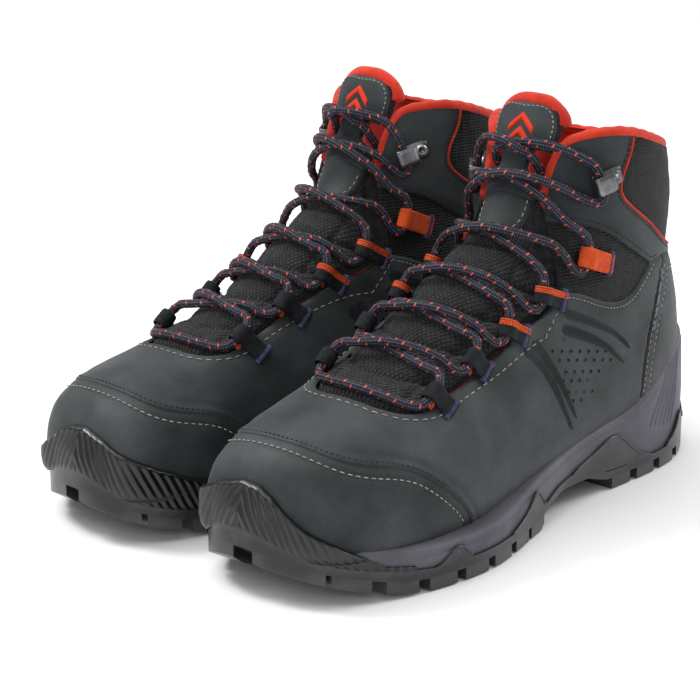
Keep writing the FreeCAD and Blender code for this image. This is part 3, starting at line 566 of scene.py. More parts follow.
TACK_THREAD = material("purple_thread", (0.035, 0.035, 0.085), (0.08, 0.078, 0.16), rough=0.75, patch=500,
                       grain=2500)
ORANGE_INK = material("orange_emblem", (0.58, 0.022, 0.006), (0.74, 0.045, 0.012), rough=0.6, patch=120,
                      grain=1500)
BLUE_INK = material("blue_marks", (0.05, 0.075, 0.10), (0.10, 0.14, 0.18), rough=0.6, patch=150, grain=1500)
METAL = material("gunmetal", (0.10, 0.10, 0.105), (0.24, 0.24, 0.25), rough=0.32, patch=120, grain=2200,
                 bump=0.12, metal=0.9, wear=(0.5, 0.5, 0.51), shine=0.5)
FELT = material("footbed_felt", (0.02, 0.02, 0.023), (0.05, 0.05, 0.056), rough=0.95, patch=120, grain=900,
                bump=0.6, weave=700)
BOARD_MAT = material("inner_board", (0.3, 0.27, 0.2), (0.42, 0.39, 0.3), rough=0.9, patch=80, grain=900)
TIP = material("lace_tip", (0.012, 0.012, 0.014), (0.03, 0.03, 0.034), rough=0.25, patch=90, grain=900,
               coat=0.4)
# near-black disc for each perforation: painted shade of the hole's inside
PAINTED_HOLE_SHADE = material("painted_hole_shade", (0.0015, 0.0015, 0.0015), (0.004, 0.004, 0.004), rough=0.95, patch=90, grain=900)
MESH_CLOTH = mesh_cloth_material()
LACE = lace_material()


# ---- placing pieces ----
def placed(points, side):
    p = np.asarray(points, float)
    c, s = math.cos(TOE_OUT), math.sin(TOE_OUT)
    x, y = p[:, 0] * c - p[:, 1] * s + HALF_GAP, p[:, 0] * s + p[:, 1] * c + Y_SHIFT
    return np.stack([x if side == "left" else -x, y, p[:, 2]], 1) * 0.001


def build(name, shape, mat, nodes=(), body="boot", uv=None, smoothed=True):
    """The same piece on both boots, riding on its body and standing for its CAD nodes.

    The shape is (verts, faces), or a list of such pairs that make one piece.
    """
    verts, faces = shape if isinstance(shape, tuple) else gather(shape)
    made = []
    for side in ("left", "right"):
        turned = faces if side == "left" else [f[::-1] for f in faces]
        mesh = bpy.data.meshes.new(f"{side}_{name}_look")
        mesh.from_pydata(placed(verts, side).tolist(), [], turned)
        mesh.polygons.foreach_set("use_smooth", [smoothed] * len(mesh.polygons))
        if uv is not None:
            corners = np.asarray(uv, float).reshape(-1, 4, 2)
            corners = corners if side == "left" else corners[:, ::-1]
            mesh.uv_layers.new(name="along").data.foreach_set("uv", corners.ravel())
        mesh.materials.append(mat)
        obj = bpy.data.objects.new(f"{side}_{name}_look", mesh)
        bpy.context.scene.collection.objects.link(obj)
        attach(obj, f"{side}_{body}")
        if nodes:
            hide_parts(*[f"{side}_{n}" for n in nodes])
        made.append(obj)
    return made


def gather(parts):
    """One mesh from several (verts, faces)."""
    verts, faces, start = [], [], 0
    for v, f in parts:
        verts.append(np.asarray(v, float))
        faces += [[start + k for k in face] for face in f]
        start += len(v)
    return np.vstack(verts), faces


def grid_faces(rows, cols, wrap=False):
    """Quads between neighbours of a grid, closed across each row if it wraps."""
    last = cols if wrap else cols - 1
    return [[i * cols + j, i * cols + (j + 1) % cols, (i + 1) * cols + (j + 1) % cols, (i + 1) * cols + j]
            for i in range(rows - 1) for j in range(last)]


def sheet(rows, wrap=False):
    """Mesh through rows of equally many points."""
    rows = np.array(rows)
    return rows.reshape(-1, 3), grid_faces(rows.shape[0], rows.shape[1], wrap)


def rod(rows):
    """Mesh through rings of points, with a face on each end."""
    verts, faces = sheet(rows, True)
    n = len(rows[0])
    return verts, faces + [list(range(n))[::-1], [len(verts) - n + k for k in range(n)]]


def carried(points, start):
    """Two directions square to a line at each of its points, turning as little as they can."""
    frames, t = [], tangents(points)
    side = unit(np.cross(t[0], start))
    for along in t:
        side = unit(side - along * side.dot(along))
        frames.append((side, np.cross(along, side)))
    return frames


def turned(count):
    """Angles of evenly spaced points on a circle."""
    return np.linspace(0, 2 * math.pi, count + 1)[:-1]


def tube(points, radius, around=8):
    """Round tube along points, thinner at its ends."""
    p = np.asarray(points, float)
    a = np.arange(around) * 2 * math.pi / around
    rows = []
    for i, (side, other) in enumerate(carried(p, [0.31, 0.52, 0.79])):
        r = radius * (0.35 if i in (0, len(p) - 1) else 1.0)
        rows.append(p[i] + (np.outer(np.cos(a), side) + np.outer(np.sin(a), other)) * r)
    return rod(rows)


def stitches(line, out, length=2.5, gap=1.0, radius=0.26, lift=0.06):
    """Threads dipping into the surface at both ends, one after another along a line."""
    pts, outs = resample(line, (length + gap) / 8, out)
    made = []
    for start in range(0, len(pts) - 6, 8):
        run = slice(start, start + 6)
        bow = np.sin(np.linspace(0, math.pi, 6))[:, None] * 0.4 - 0.2 + lift
        made.append(tube(pts[run] + outs[run] * bow, radius, 6))
    return made


def stitched(fields, where, height, **how):
    """Stitches along the zero lines of several fields."""
    made = []
    for field in fields:
        for pts, out in contours(field, where):
            made += stitches(pts + out * height, out, **how)
    return made


def groove(field, width=0.9, deep=0.35):
    """Relief of a pressed line where the field is zero."""
    return -deep * np.exp(-(field / width) ** 2)


# ---- upper panels ----
def make_upper():
    creases = 0.25 * wave_noise(X, Y, Z, 34, 3) + 0.1 * wave_noise(X, Y, Z, 11, 5)
    bend = np.exp(-((Y + 58) / 22) ** 2) * np.clip((Z - 30) / 40, 0, 1)
    creases += 0.25 * bend * np.sin((Y + 0.35 * np.abs(X)) / 3.4 + 0.8 * wave_noise(X, Y, Z, 30, 8))
    toe_line, toe_line_2, toe_crease = IN_TOE - 4.0, IN_TOE + 2.2, IN_TOE + 4.4
    throat_line, shell_line = IN_THROAT + 3.4, IN_SHELL + 2.6
    heel_1, heel_2, ankle_line = IN_HEEL - 1.6, IN_HEEL - 6.5, IN_ANKLE - 2.4
    swell = 0.9 * (1 - np.exp(-np.maximum(IN_SHELL, 0) / 6))
    channels = np.exp(-(np.sin((S_UP - 150) / 16) / 0.12) ** 2) * (IN_REAR > 6)
    puff = 1.5 * (1 - np.exp(-np.maximum(IN_REAR, 0) / 7)) - 0.8 * channels
    pressed = creases + groove(throat_line) + groove(shell_line) + groove(toe_crease, 1.4, 0.3)
    leathers = (("quarters", QUARTERS, 0.55, 1.2, 0.8, pressed),
                ("toe_cap", IN_TOE + 3.0, -0.15, 1.0, 0.3, creases + groove(toe_line, 1.1, 0.4)),
                ("heel_panel", IN_HEEL, 0.75, 1.2, 0.8, creases + groove(heel_1) + groove(heel_2)),
                ("ankle_panel", IN_ANKLE, 0.65, 1.2, 0.9, creases + groove(ankle_line, 0.9, 0.2)))
    for name, field, base, edge, round_off, relief in leathers:
        pieces = [panel(np.minimum(field, SHELL_ALL), base, edge, round_off, relief)]
        if name == "toe_cap":
            tip = SURF[0] + OUT[0] * base
            fan = [[(k + 1) % COLUMNS, k, COLUMNS] for k in range(COLUMNS)]
            pieces.append((np.vstack([tip, tip.mean(0)]), fan))
        build(name, pieces, NUBUCK, [name])
    build("softshell", panel(np.minimum(IN_SHELL + 2.0, SHELL_ALL), -0.7, 1.0, 0.4, swell + 0.5 * creases),
          SOFTSHELL, ["softshell_outer", "softshell_inner"])
    build("rear_collar", panel(np.minimum(IN_REAR + 1.0, SHELL_ALL), -0.6, 1.2, 0.6, puff + creases),
          SOFTSHELL, ["rear_collar"])
    above = ABOVE_SOLE - 4.5
    visible = np.minimum.reduce([above, BELOW_COLLAR - 1, -IN_THROAT - 1, Z - 20])
    beside_throat = np.minimum.reduce([visible, 122 - S_UP, -IN_SHELL - 1])
    on_heel = np.minimum.reduce([above, SHELL_ALL, 104 - Z])
    round_shell = np.minimum.reduce([SHELL_ALL, -IN_HEEL, -IN_ANKLE])
    pale = stitched([toe_line], visible, 0.0)
    pale += stitched([throat_line], beside_throat, 0.55, length=3.1, gap=1.5)
    pale += stitched([heel_1, heel_2], on_heel, 0.75, length=2.2, gap=0.9)
    pale += stitched([shell_line], round_shell, 0.55, length=1.7, gap=0.7)
    build("stitches", pale, THREAD)
    low_ankle = np.minimum.reduce([SHELL_ALL, 99 - Y, IN_SHELL + 8])
    fine = {"length": 1.8, "gap": 0.7}
    dark = stitched([toe_line_2], visible, 0.5, radius=0.22, **fine)
    dark += stitched([ankle_line], low_ankle, 0.6, radius=0.2, **fine)
    dark += stitched([IN_REAR + 2.2], np.minimum(SHELL_ALL, IN_ANKLE - 1), 0.6, radius=0.2, **fine)
    build("dark_stitches", dark, NUBUCK_DARK)
    cord = []
    for pts, out in contours(IN_REAR + 0.3, np.minimum(BELOW_COLLAR - 1, 118 - Y)):
        pts, out = resample(pts, 0.8, out)
        twist = 0.15 * np.sin(np.arange(len(pts)) * 1.9)[:, None]
        cord.append(tube(pts + out * (0.6 + twist), 0.6))
    build("rear_piping", cord, BINDING)


def strip(side, line, width, pitch, height):
    """Pressed pleat band on the side of the quarter: a ribbed ribbon following a side view line."""
    pts = resample(smooth(line, 0.5), pitch / 4)
    t = tangents(pts)
    cols, total = 9, len(pts)
    rows = []
    for i in range(total):
        taper = min(1.0, (i + 2) / 8, (total - i + 1) / 12) * (1.0 - 0.6 * i / total)
        row = []
        for k in range(cols):
            a = (k / (cols - 1) - 0.5) * width * taper
            y, z = pts[i] + np.array([-t[i][1], t[i][0]]) * a
            edge = 1 - abs(2 * k / (cols - 1) - 1) ** 4
            rib = math.sin(2 * math.pi * (i / 4 + 0.18 * k))
            row.append(on_side(side, y, z, 0.5 + edge * height * (0.6 + 0.6 * rib)))
        rows.append(row)
    return sheet(rows)


def make_pressings():
    bands = [strip(side, line, 6.2, 1.3, 0.38) for side in (1, -1) for line in PLEATS]
    build("pleats", bands, NUBUCK_DARK)
    hole_shades, rims = [], []
    around = turned(12)
    fan = [[k, (k + 1) % 12, 12] for k in range(12)]
    for side, i, j in [(side, i, j) for side in (1, -1) for i in range(10) for j in range(9)]:
        y, z = 2 + 6.6 * i + (3.3 if j % 2 else 0) + 0.8 * j, 91 - 5.0 * j - 1.4 * i
        if inside(np.array([y]), np.array([z]), PERFORATED)[0] < 1.0:
            continue
        c, n = cast((side * 80, y, z), (0, y, z))
        a = unit(np.cross(n, [0, 0, 1]))
        circle = np.outer(np.cos(around), a) + np.outer(np.sin(around), np.cross(n, a))
        # painted shade: a near-black disc stands for the hole, which is not cut through the leather
        hole_shades.append((np.vstack([c + n * 0.62 + circle * 0.85, [c + n * 0.5]]), fan))
        rims.append(sheet([c + n * h + circle * r for h, r in ((0.5, 1.5), (0.78, 1.1), (0.6, 0.8))], True))
    build("perforation_shades", hole_shades, PAINTED_HOLE_SHADE, smoothed=False)
    build("perforation_rims", rims, NUBUCK)
    marks = []
    for k in range(5):
        y, z = 95.5 - 1.15 * k, 100 - 6.2 * k
        marks.append(sheet([[on_side(1, y + dy + 0.25 * dz, z + dz, 1.0) for dy in (-1.1, -0.4, 0.4, 1.1)]
                            for dz in (-2.2, -0.8, 0.8, 2.2)]))
    build("heel_marks", marks, BLUE_INK)


# ---- lining, collar binding, footbed ----
def binding(pts, out):
    """Rounded edging over the free edge of the collar, closing down at both its ends."""
    pts, out = resample(pts, 1.2, out)
    for _ in range(14):
        pts[1:-1] = (pts[:-2] + 2 * pts[1:-1] + pts[2:]) / 4
        out[1:-1] = (out[:-2] + 2 * out[1:-1] + out[2:]) / 4
    away = np.cross(tangents(pts), out)
    away /= np.linalg.norm(away, axis=1)[:, None]
    if away[len(pts) // 2][2] < 0:
        away = -away
    rows = []
    for i in range(len(pts)):
        ends = min(1.0, (i + 1) / 4, (len(pts) - i) / 4)
        wide = 3.3 * (1 + 0.05 * math.sin(i * 0.9)) * ends
        rows.append([pts[i] + out[i] * (-2.45 + 3.35 * math.cos(a) * ends)
                     + away[i] * (wide * math.sin(a) - 0.6) for a in np.linspace(-0.25, math.pi + 0.35, 15)])
    return sheet(rows)


def make_inside():
    inner = np.minimum.reduce([BELOW_COLLAR + 0.5, -IN_THROAT + 0.5, Z - 12])
    soft = 0.5 * wave_noise(X, Y, Z, 26, 12)
    bulge = 1.6 * np.exp(-((BELOW_COLLAR - 12) / 10) ** 2)
    verts, faces = panel(inner, -LINING_DEPTH, 3.0, -2.0, soft - bulge, 1.5)
    build("lining", (verts, [f[::-1] for f in faces]), FLEECE, ["lining"])
    edge = np.minimum(BELOW_COLLAR, -IN_THROAT)
    build("collar_binding", [binding(*line) for line in contours(edge, np.minimum(S_UP - 131.5, 40 + Z))],
          BINDING, ["collar_piping"])
    wall = tree(-LINING_DEPTH - 0.8)
    rows = []
    for y in np.linspace(-137, 131, 130):
        z = read(FOOTBED_TOP, y) - 0.5
        (right, _), (left, _) = [cast((-4, y, z), (x, y, z), wall) for x in (60, -60)]
        row = []
        for a in np.linspace(-1, 1, 27):
            x = (left[0] + right[0]) / 2 + a * (right[0] - left[0]) / 2 * 0.99
            row.append((x, y, z - 0.9 + 1.2 * abs(a) ** 3 + 0.12 * math.sin(y * 0.9) * math.sin(x * 0.9)))
        rows.append([(row[0][0] + 0.6, y, z - 6)] + row + [(row[-1][0] - 0.6, y, z - 6)])
    build("footbed", sheet(rows), FELT, ["footbed"], body="footbed")


# ---- tongue ----
def half_width(line, s):
    fine = smooth(line, 0.8)
    return np.interp(s, fine[:, 1], fine[:, 0])


def ease(f):
    f = min(1.0, max(0.0, f))
    return f * f * (3 - 2 * f)


def notched(line, s):
    """Half width with a gap at each edge where the lace ends dive in."""
    w = float(half_width(line, s))
    x, s0, s1 = TUCK_NOTCH
    return w - (w - x) * ease((s - s0) / 2.0) * ease((s1 - s) / 2.0)


def tongue_height(x, s):
    """Padded relief of the tongue's face: pads between sewn channels, side pads along both edges."""
    bow = s - 0.012 * x * x
    seams = np.array([-2.0, 20.0, 43.0, 66.0, 88.0, 106.0, 125.0])
    k = np.clip(np.searchsorted(seams, bow) - 1, 0, len(seams) - 2)
    f = np.clip((bow - seams[k]) / (seams[k + 1] - seams[k]), 0, 1)
    pad = 1.9 * (1 - abs(2 * f - 1) ** 3.0)
    seam = np.exp(-(np.min(np.abs(bow[..., None] - seams), axis=-1) / 1.1) ** 2)
    side = np.exp(-((np.abs(x) - 19.5 + 0.06 * np.clip(s - 70, 0, 50)) / 1.2) ** 2) * (s < 112)
    crinkle = 0.22 * np.sin(s * 2.1 + 1.6 * np.sin(x * 0.8)) * np.sin(x * 1.7 + 0.9 * np.sin(s * 0.7))
    fade = np.clip((118 - s) / 10, 0, 1)
    return (pad - 0.9 * seam - 1.1 * side + crinkle) * fade


def make_tongue():
    """Padded face, lining behind it, and the rolled edge of the lining round the top."""
    heights = np.concatenate([np.linspace(-7, 160, 168), np.linspace(161, 171, 11)])
    cols, back_cols = 61, 25
    face_rows, back_rows = [], []
    for s in heights:
        w = notched(TONGUE_EDGE, s)
        end = math.sqrt(max(0.0, 1 - max(0.0, (s - 166) / 5.4) ** 2))
        brim, tucked = float(half_width(THROAT, s)), ease((130 - s) / 14)
        row = []
        for k in range(cols):
            a = -1 + 2 * k / (cols - 1)
            x = w * a * (0.72 + 0.28 * end)
            roll = max(0.0, (abs(a) - 0.86) / 0.14)
            h = -TONGUE_FACE + float(tongue_height(np.array(x), np.array(s))) - 2.6 * roll ** 2
            under = max(ease((abs(x) - brim + 3.0) / 2.5), ease((3.5 - s) / 4.0))
            h = (h * end - (1 - end) * 5.5) * (1 - under) - 7.0 * under
            row.append(on_instep(x, s, h))
        face_rows.append(row)
        row = []
        for k in range(back_cols):
            a = -1 + 2 * k / (back_cols - 1)
            x = w * a * (0.72 + 0.28 * end)
            swell = 1 - abs(a) ** 4
            h = -4.2 - (7.6 - 3.4 * tucked + 1.5 * ease((s - 145) / 10)) * swell * end - (1 - end) * 1.3
            h -= 3.6 * tucked
            row.append(on_instep(x, s, h))
        back_rows.append(row)
    rows = len(heights)
    face_top = int(np.searchsorted(heights, 168.5))
    face = sheet(face_rows[:face_top])
    spots = np.array([(31.0 * (2 * k / (cols - 1) - 1), s) for s in heights[:face_top] for k in range(cols)])
    pads = build("tongue", face, MESH_CLOTH, ["tongue"], "tongue",
                 uv=spots[np.array(face[1])])
    verts, faces = sheet(back_rows)
    parts = [(verts, [f[::-1] for f in faces]), sheet(face_rows[face_top - 1:])]
    for end in (0, -1):
        parts.append(sheet([[face_rows[i][end], back_rows[i][end]] for i in range(rows)]))
    step = (cols - 1) / (back_cols - 1)
    parts.append(sheet([[face_rows[-1][int(k * step)], back_rows[-1][k]] for k in range(back_cols)]))
    back = build("tongue_lining", parts, FLEECE, ["tongue_lining"], "tongue")
    rim = np.array([on_instep(a * 19.5, 163.5 + 6.2 * math.sqrt(max(0.0, 1 - abs(a) ** 2.6)), -6.0)
                    for a in np.linspace(-1, 1, 60)])
    verts, faces = tube(resample(rim, 1.0), 4.2, 16)
    verts = verts + 0.12 * wave_noise(*verts.T, 14, 21)[:, None]
    build("tongue_roll", (verts, faces), FLEECE, body="tongue")
    make_patches()
    make_gussets()


def patch(name, line, s0, s1, thick, rows=40, cols=31):
    """Leather patch on the tongue's face, its edge rounded down."""
    made = []
    for s in np.linspace(s0, s1, rows):
        w, row = notched(line, s), []
        for k in range(cols):
            a = -1 + 2 * k / (cols - 1)
            near = min((1 - abs(a)) * w, s - s0, s1 - s)
            lift = thick * math.sqrt(max(0.0, 1 - max(0.0, 1 - near / 1.2) ** 2))
            row.append(on_instep(a * w, s, -TONGUE_FACE + lift + 0.12 * math.sin(s * 0.35 + a * w * 0.2)))
        made.append(row)
    build(name, sheet(made), NUBUCK, [name], "tongue")


def patch_stitches(half, height, **how):
    """Stitches along one side of a patch, given as x and s, and back along the other."""
    loop = smooth(half + [(-x, s) for x, s in half[::-1] if x], 1.0)
    line = np.array([on_instep(x, s, height - TONGUE_FACE) for x, s in loop])
    out = np.array([unit(on_instep(x, s, 5) - on_instep(x, s, 0)) for x, s in loop])
    return stitches(line, out, **how)


def make_patches():
    patch("tongue_patch_top", PATCH_TOP, 130.5, 168.5, 1.5)
    patch("tongue_patch_low", PATCH_LOW, 112.5, 131.8, 1.3, rows=34)
    low = [(half_width(PATCH_LOW, s) - 2.0, s + 1.2) for s in (130, 127, 124, 121, 118, 115.5, 113.6)]
    top = [(half_width(PATCH_TOP, s) - 1.8, s) for s in (155, 158, 161, 164, 166)] + [(0, 166.8)]
    made = patch_stitches(low, 1.3, length=2.1, gap=1.1)
    made += patch_stitches(top, 1.5, length=1.5, gap=0.9, radius=0.24)
    build("tongue_stitches", made, THREAD, body="tongue")
    bars = []
    for base, sign in [(base, sign) for base in CHEVRON_S for sign in (1, -1)]:
        rows = []
        for f in np.linspace(0, 1, 14):
            row = []
            for b in np.linspace(0, 1, 7):
                s = base + CHEVRON_RISE * (1 - f) + CHEVRON_BAR * b
                lift = 0.75 * (1 - abs(2 * b - 1) ** 4) * (1.0 if f < 1 else 0.2)
                row.append(on_instep(sign * CHEVRON_HALF * f, s, -TONGUE_FACE + 1.35 + lift))
            rows.append(row)
        bars.append(sheet(rows))
    build("tongue_emblem", bars, ORANGE_INK, ["tongue_emblem"], "tongue")


def make_gussets():
    """Folded cloth between the tongue's edges and the facings."""
    parts = []
    for side in (1, -1):
        rows = []
        for s in np.linspace(2, 134, 132):
            edge, row = float(half_width(THROAT, s)), []
            for k in range(9):
                b = k / 8
                fold = 1.1 * math.sin(b * 7.0) + 0.35 * math.sin(s * 0.45 + 3 * b)
                row.append(on_instep(side * (edge + 3.0 - 9.0 * b), s, -3.3 - 1.6 * b + fold * (1 - b) * 0.6))
            rows.append(row)
        parts.append(sheet(rows))
    build("gussets", parts, TEXTILE, ["gussets"], "tongue")


# ---- loops and hooks ----
def loop_frame(side, row):
    """Middles of a loop's ring and bar tack, and directions: to the tack, across, outward."""
    x, s, y, z = row
    ring_at = on_instep(side * x, s, RING_H)
    tack = on_side(side, y, z, TACK_H)
    d = unit(tack - ring_at)
    up = np.array([0, *THROAT_T])
    w = unit(up - d * up.dot(d))
    m = np.cross(w, d)
    return ring_at, tack, d, w, m if m[0] * side > 0 else -m


def web_path(side, row):
    """Middle line of the folded webbing: tack, under the lace, round it and back on top."""
    c, tack, d, w, m = loop_frame(side, row)
    r = RING_R + WEB_T / 2
    length = (tack - c).dot(d)
    turn = [(r * math.cos(a), r * math.sin(a)) for a in np.radians(np.linspace(-50, -310, 22))]
    low = [(length + 1.4, -0.5), (length * 0.75, -0.55), (length * 0.5, -0.9)]
    high = [(length * 0.5, 1.1), (length * 0.75, 0.75), (length + 1.4, 0.55)]
    shape = resample(smooth(np.array(low + turn + high), 0.35), 0.45)
    return np.array([c + d * a + m * b for a, b in shape]), w, d, m, tack


def ribbed(path, w, width, thick, ribs, shift=0.0):
    """Webbing ribbon with lengthwise ribs, its face square to w."""
    up = np.cross(tangents(path), w)
    a = np.linspace(-0.5, 0.5, 25)
    ridge = 0.1 * np.cos(a * 2 * math.pi * ribs) - 0.35 * thick * np.abs(2 * a) ** 8
    across = np.concatenate([a, a[::-1]]) * width + shift
    height = np.concatenate([thick / 2 + ridge, -thick / 2 - ridge[::-1]])
    twill = 0.05 * np.sin(np.arange(len(path)) * 2.2)
    return rod([p + np.outer(across, w) + np.outer(height + k, m) for p, m, k in zip(path, up, twill)])


def make_loops():
    """Lace loops with bar tacks: two plain, two striped and one wide orange one on each side."""
    groups = {"black": [], "striped": [], "orange": [], "stripe": [], "tack": [], "tab": []}
    for side, rows in ((1, LOOPS_OUT), (-1, LOOPS_IN)):
        for i, row in enumerate(rows):
            path, w, d, m, tack = web_path(side, row)
            kind = "black" if i < 2 else "striped" if i < 4 else "orange"
            wide = LOOP_W * (0.98 if i < 4 else 1.12)
            groups[kind].append(ribbed(path, w, wide, 0.9, 6 if i < 4 else 9))
            if i in (2, 3):
                groups["stripe"].append(ribbed(path[len(path) // 3:], w, 3.2, 1.15, 3, 2.2))
            for k in range(15):
                a = (k / 14 - 0.5) * (wide + 1.6)
                centre = tack + w * a - d * 0.4
                bow = [(-1.3, -1.5), (-1.1, 0.95), (0, 1.3), (1.1, 0.95), (1.3, -1.5)]
                groups["tack"].append(tube([centre + d * u + m * (v - 0.2) for u, v in bow], 0.42, 6))
            if i < 4:
                base = path[len(path) // 2] + d * 4.5 - w * (wide / 2 - 1.2)
                shape = ((-3.2, -1.0, -1.2), (0, -1.2, -1.7), (3, -1.2, -1.9))
                tab = np.array([base + d * a + w * b + m * h for a, b, h in shape])
                groups["tab"].append(ribbed(resample(tab, 0.5), w, 3.4, 0.7, 2))
    kinds = (("black", WEB_BLACK, "black_webbing", ["loops_black"]),
             ("striped", WEB_BLACK, "black_webbing", ["loops_striped"]),
             ("orange", WEB_ORANGE, "orange_webbing", ["loops_orange"]),
             ("stripe", WEB_ORANGE, "orange_webbing", []), ("tab", WEB_ORANGE, "orange_webbing", []),
             ("tack", TACK_THREAD, "black_webbing", []))
    for kind, mat, slot, nodes in kinds:
        build("loops_" + kind, groups[kind], mat, nodes)


def hook_frame(side, place):
    """Foot of a hook, and directions: toward its mouth, across, outward."""
    p, n = cast((side * 80, *place), (0, *place))
    forward = np.array([0, -0.97, -0.25])
    d = unit(forward - n * forward.dot(n))
    w = np.cross(n, d)
    return p + n * 0.4, d, w if w[2] > 0 else -w, n


def make_hooks():
    """Folded sheet metal hooks with a tubular rivet each."""
    hooks, rivets = [], []
    bend = [(1.45 * math.sin(a), 1.45 * math.cos(a)) for a in np.linspace(0.1, 1.5, 6)]
    line = [(-11, 0.75), (-4, 0.75), (3.2, 0.75)] + [(3.6 + s, 2.2 - c) for s, c in bend] + [(5.05, 4.0)]
    line += [(3.6 + c, 5.4 + s) for s, c in bend] + [(0.5, 6.9), (-3.4, 7.0), (-4.4, 7.5)]
    path = resample(np.array(line), 0.5)
    across = np.array([-1, -0.93, -0.5, 0, 0.5, 0.93, 1, 0.93, 0.5, 0, -0.5, -0.93])
    height = np.array([0, 0.55, 0.62, 0.5, 0.62, 0.55, 0, -0.55, -0.6, -0.6, -0.6, -0.55])
    rivet = ((3.0, 0.0), (3.0, 0.35), (2.6, 0.95), (1.9, 1.25), (1.5, 1.1), (1.2, 0.6), (0.01, 0.55))
    for side, place in ((1, HOOK_OUT), (-1, HOOK_IN)):
        o, d, w, m = hook_frame(side, place)
        points = np.array([o + d * a + m * b for a, b in path])
        rows = []
        for i, (p, up) in enumerate(zip(points, np.cross(tangents(points), w))):
            end = min(i, len(points) - 1 - i)
            half = HOOK_W / 2 * (1.0 if end > 3 else 0.82 + 0.045 * end)
            rows.append(p + np.outer(across * half, w) + np.outer(height, up))
        hooks.append(rod(rows))
        centre, a = o - d * 7.5 + m * 1.25, turned(24)
        rivets.append(sheet([centre + np.outer(np.cos(a) * r, d) + np.outer(np.sin(a) * r, w) + m * h
                             for r, h in rivet], True))
    build("lace_hooks", hooks, METAL, ["lace_hooks"])
    build("hook_rivets", rivets, METAL, ["hook_rivets"])


# ---- lace ----
def lace_points():
    """Route of the lace: tucked end, hook, down one way through the loops, back up the other."""
    levels = [row[1] for row in LOOPS_OUT] + [150.0]

    # a point of the route: place, then at a straight run's end its direction and the way to the bend
    def anchor(centre, w, inward, upward, reach=LOOP_OUT):
        k = 1 if upward else -1
        ends = [(centre + w * (t * reach) + inward * 0.2, w * t, t * k) for t in (-k, k)]
        return [ends[0], (centre, None, 0), ends[1]]

    def through_loop(side, i, upward):
        c, _, d, w, _ = loop_frame(side, (LOOPS_OUT if side > 0 else LOOPS_IN)[i])
        return anchor(c, w, d * -1, upward)

    def over_hook(side, upward):
        o, d, w, m = hook_frame(side, HOOK_OUT if side > 0 else HOOK_IN)
        return anchor(o + d * 1.3 + m * 3.75, w, d, upward, HOOK_OUT_RUN)

    def free(points):
        return [(p, None, 0) for p in points]

    def strand(side, i0, i1, lift):
        s0, s1 = levels[i0], levels[i1]
        low = 0.35 * lift + 4.2
        rows = [(17, 0.36, low), (0, 0.5, lift), (-17, 0.64, low)]
        if i0 == 4:
            rows.insert(0, (24.5 if side > 0 else 22, 0.2, 5.4))
        if i1 == 4:
            rows.append((-24.5 if side < 0 else -22, 0.8, 5.4))
        return free([on_instep(side * x, s0 + (s1 - s0) * f, h) for x, f, h in rows])

    def top_end(side, lift):
        pts = [on_instep(-side * 17, 155.5, 5.2), on_instep(0, 151.3, lift),
               on_instep(side * 5.5, 148.4, 0.55 * lift + 1.8)]
        return free(pts + [throat_point(x if side > 0 else -x_in, s, n) for x, x_in, s, n in TUCK])

    side = -1
    route = top_end(1, TOP_LIFTS[0])[::-1] + over_hook(side, False)
    for i in range(5, 0, -1):
        route += strand(side, i, i - 1, OVER if side > 0 else UNDER)
        side = -side
        route += through_loop(side, i - 1, False)
    route += free([on_instep(x * side, 4.5, 3.0) for x in (14, 0, -14)])
    side = -side
    route += through_loop(side, 0, True)
    for i in range(1, 6):
        route += strand(side, i - 1, i, OVER if side < 0 else UNDER)
        side = -side
        if i < 5:
            route += through_loop(side, i, True)
    route += over_hook(side, True) + top_end(-side, TOP_LIFTS[1])
    points = []
    for i, (p, outward, step) in enumerate(route):
        points.append(p)
        if step:
            toward = unit(route[i + step][0] - p)
            points.insert(len(points) - (step < 0), p + unit(toward + outward) * TURN_RUN)
    return points


def nurbs_line(points):
    """Points along the smooth line whose control points these are."""
    curve = bpy.data.curves.new("lace_route", "CURVE")
    curve.dimensions = "3D"
    curve.resolution_u = 24
    spline = curve.splines.new("NURBS")
    spline.points.add(len(points) - 1)
    for k, p in enumerate(points):
        spline.points[k].co = (*p, 1.0)
    spline.order_u = 3
    spline.use_endpoint_u = True
    obj = bpy.data.objects.new("lace_route", curve)
    mesh = bpy.data.meshes.new_from_object(obj)
    line = np.array([v.co for v in mesh.vertices])
    bpy.data.objects.remove(obj)
    bpy.data.meshes.remove(mesh)
    return line


def make_lace():
    """Round braided lace in one length, and a plain tip on each end."""
    step, around, tip_around = 0.55, 16, 18
    line = nurbs_line(lace_points())
    pts = resample(line, step)
    rows = []
    a = np.arange(around) * 2 * math.pi / around
    for i, (side, other) in enumerate(carried(pts, [0.3, 0.2, 0.9])):
        weave = np.cos(a * 4 + i * 0.78) + np.cos(a * 4 - i * 0.78)
        r = LACE_R * (0.975 + 0.04 * weave)
        rows.append(pts[i] + np.outer(np.cos(a) * r, side) + np.outer(np.sin(a) * r, other))
    uv = [(k * step / 2.2, q / around) for i in range(len(rows) - 1) for j in range(around)
          for k, q in ((i, j), (i, j + 1), (i + 1, j + 1), (i + 1, j))]
    laces = build("lace", sheet(rows, True), LACE, ["lace"], uv=uv)
    tips = []
    profile = [(0.0, 2.1), (0.6, 2.05), (1.2, 1.9), (10.8, 1.9), (11.6, 1.7), (12.2, 1.2), (12.4, 0.3)]
    turn = turned(tip_around)
    for end, before in ((pts[0], pts[3]), (pts[-1], pts[-4])):
        d = unit(end - before)
        side = unit(np.cross(d, [0.3, 0.2, 0.9]))
        circle = np.outer(np.cos(turn), side) + np.outer(np.sin(turn), np.cross(d, side))
        tips.append(sheet([end + d * h + circle * r for h, r in profile], True))
    ends = build("aglets", tips, TIP, ["aglets"])
    length = arc(pts)[-1] * 0.001
    for obj, tip, boot in zip(laces, ends, ("left", "right")):
        path = placed(resample(line, 2.0), boot)


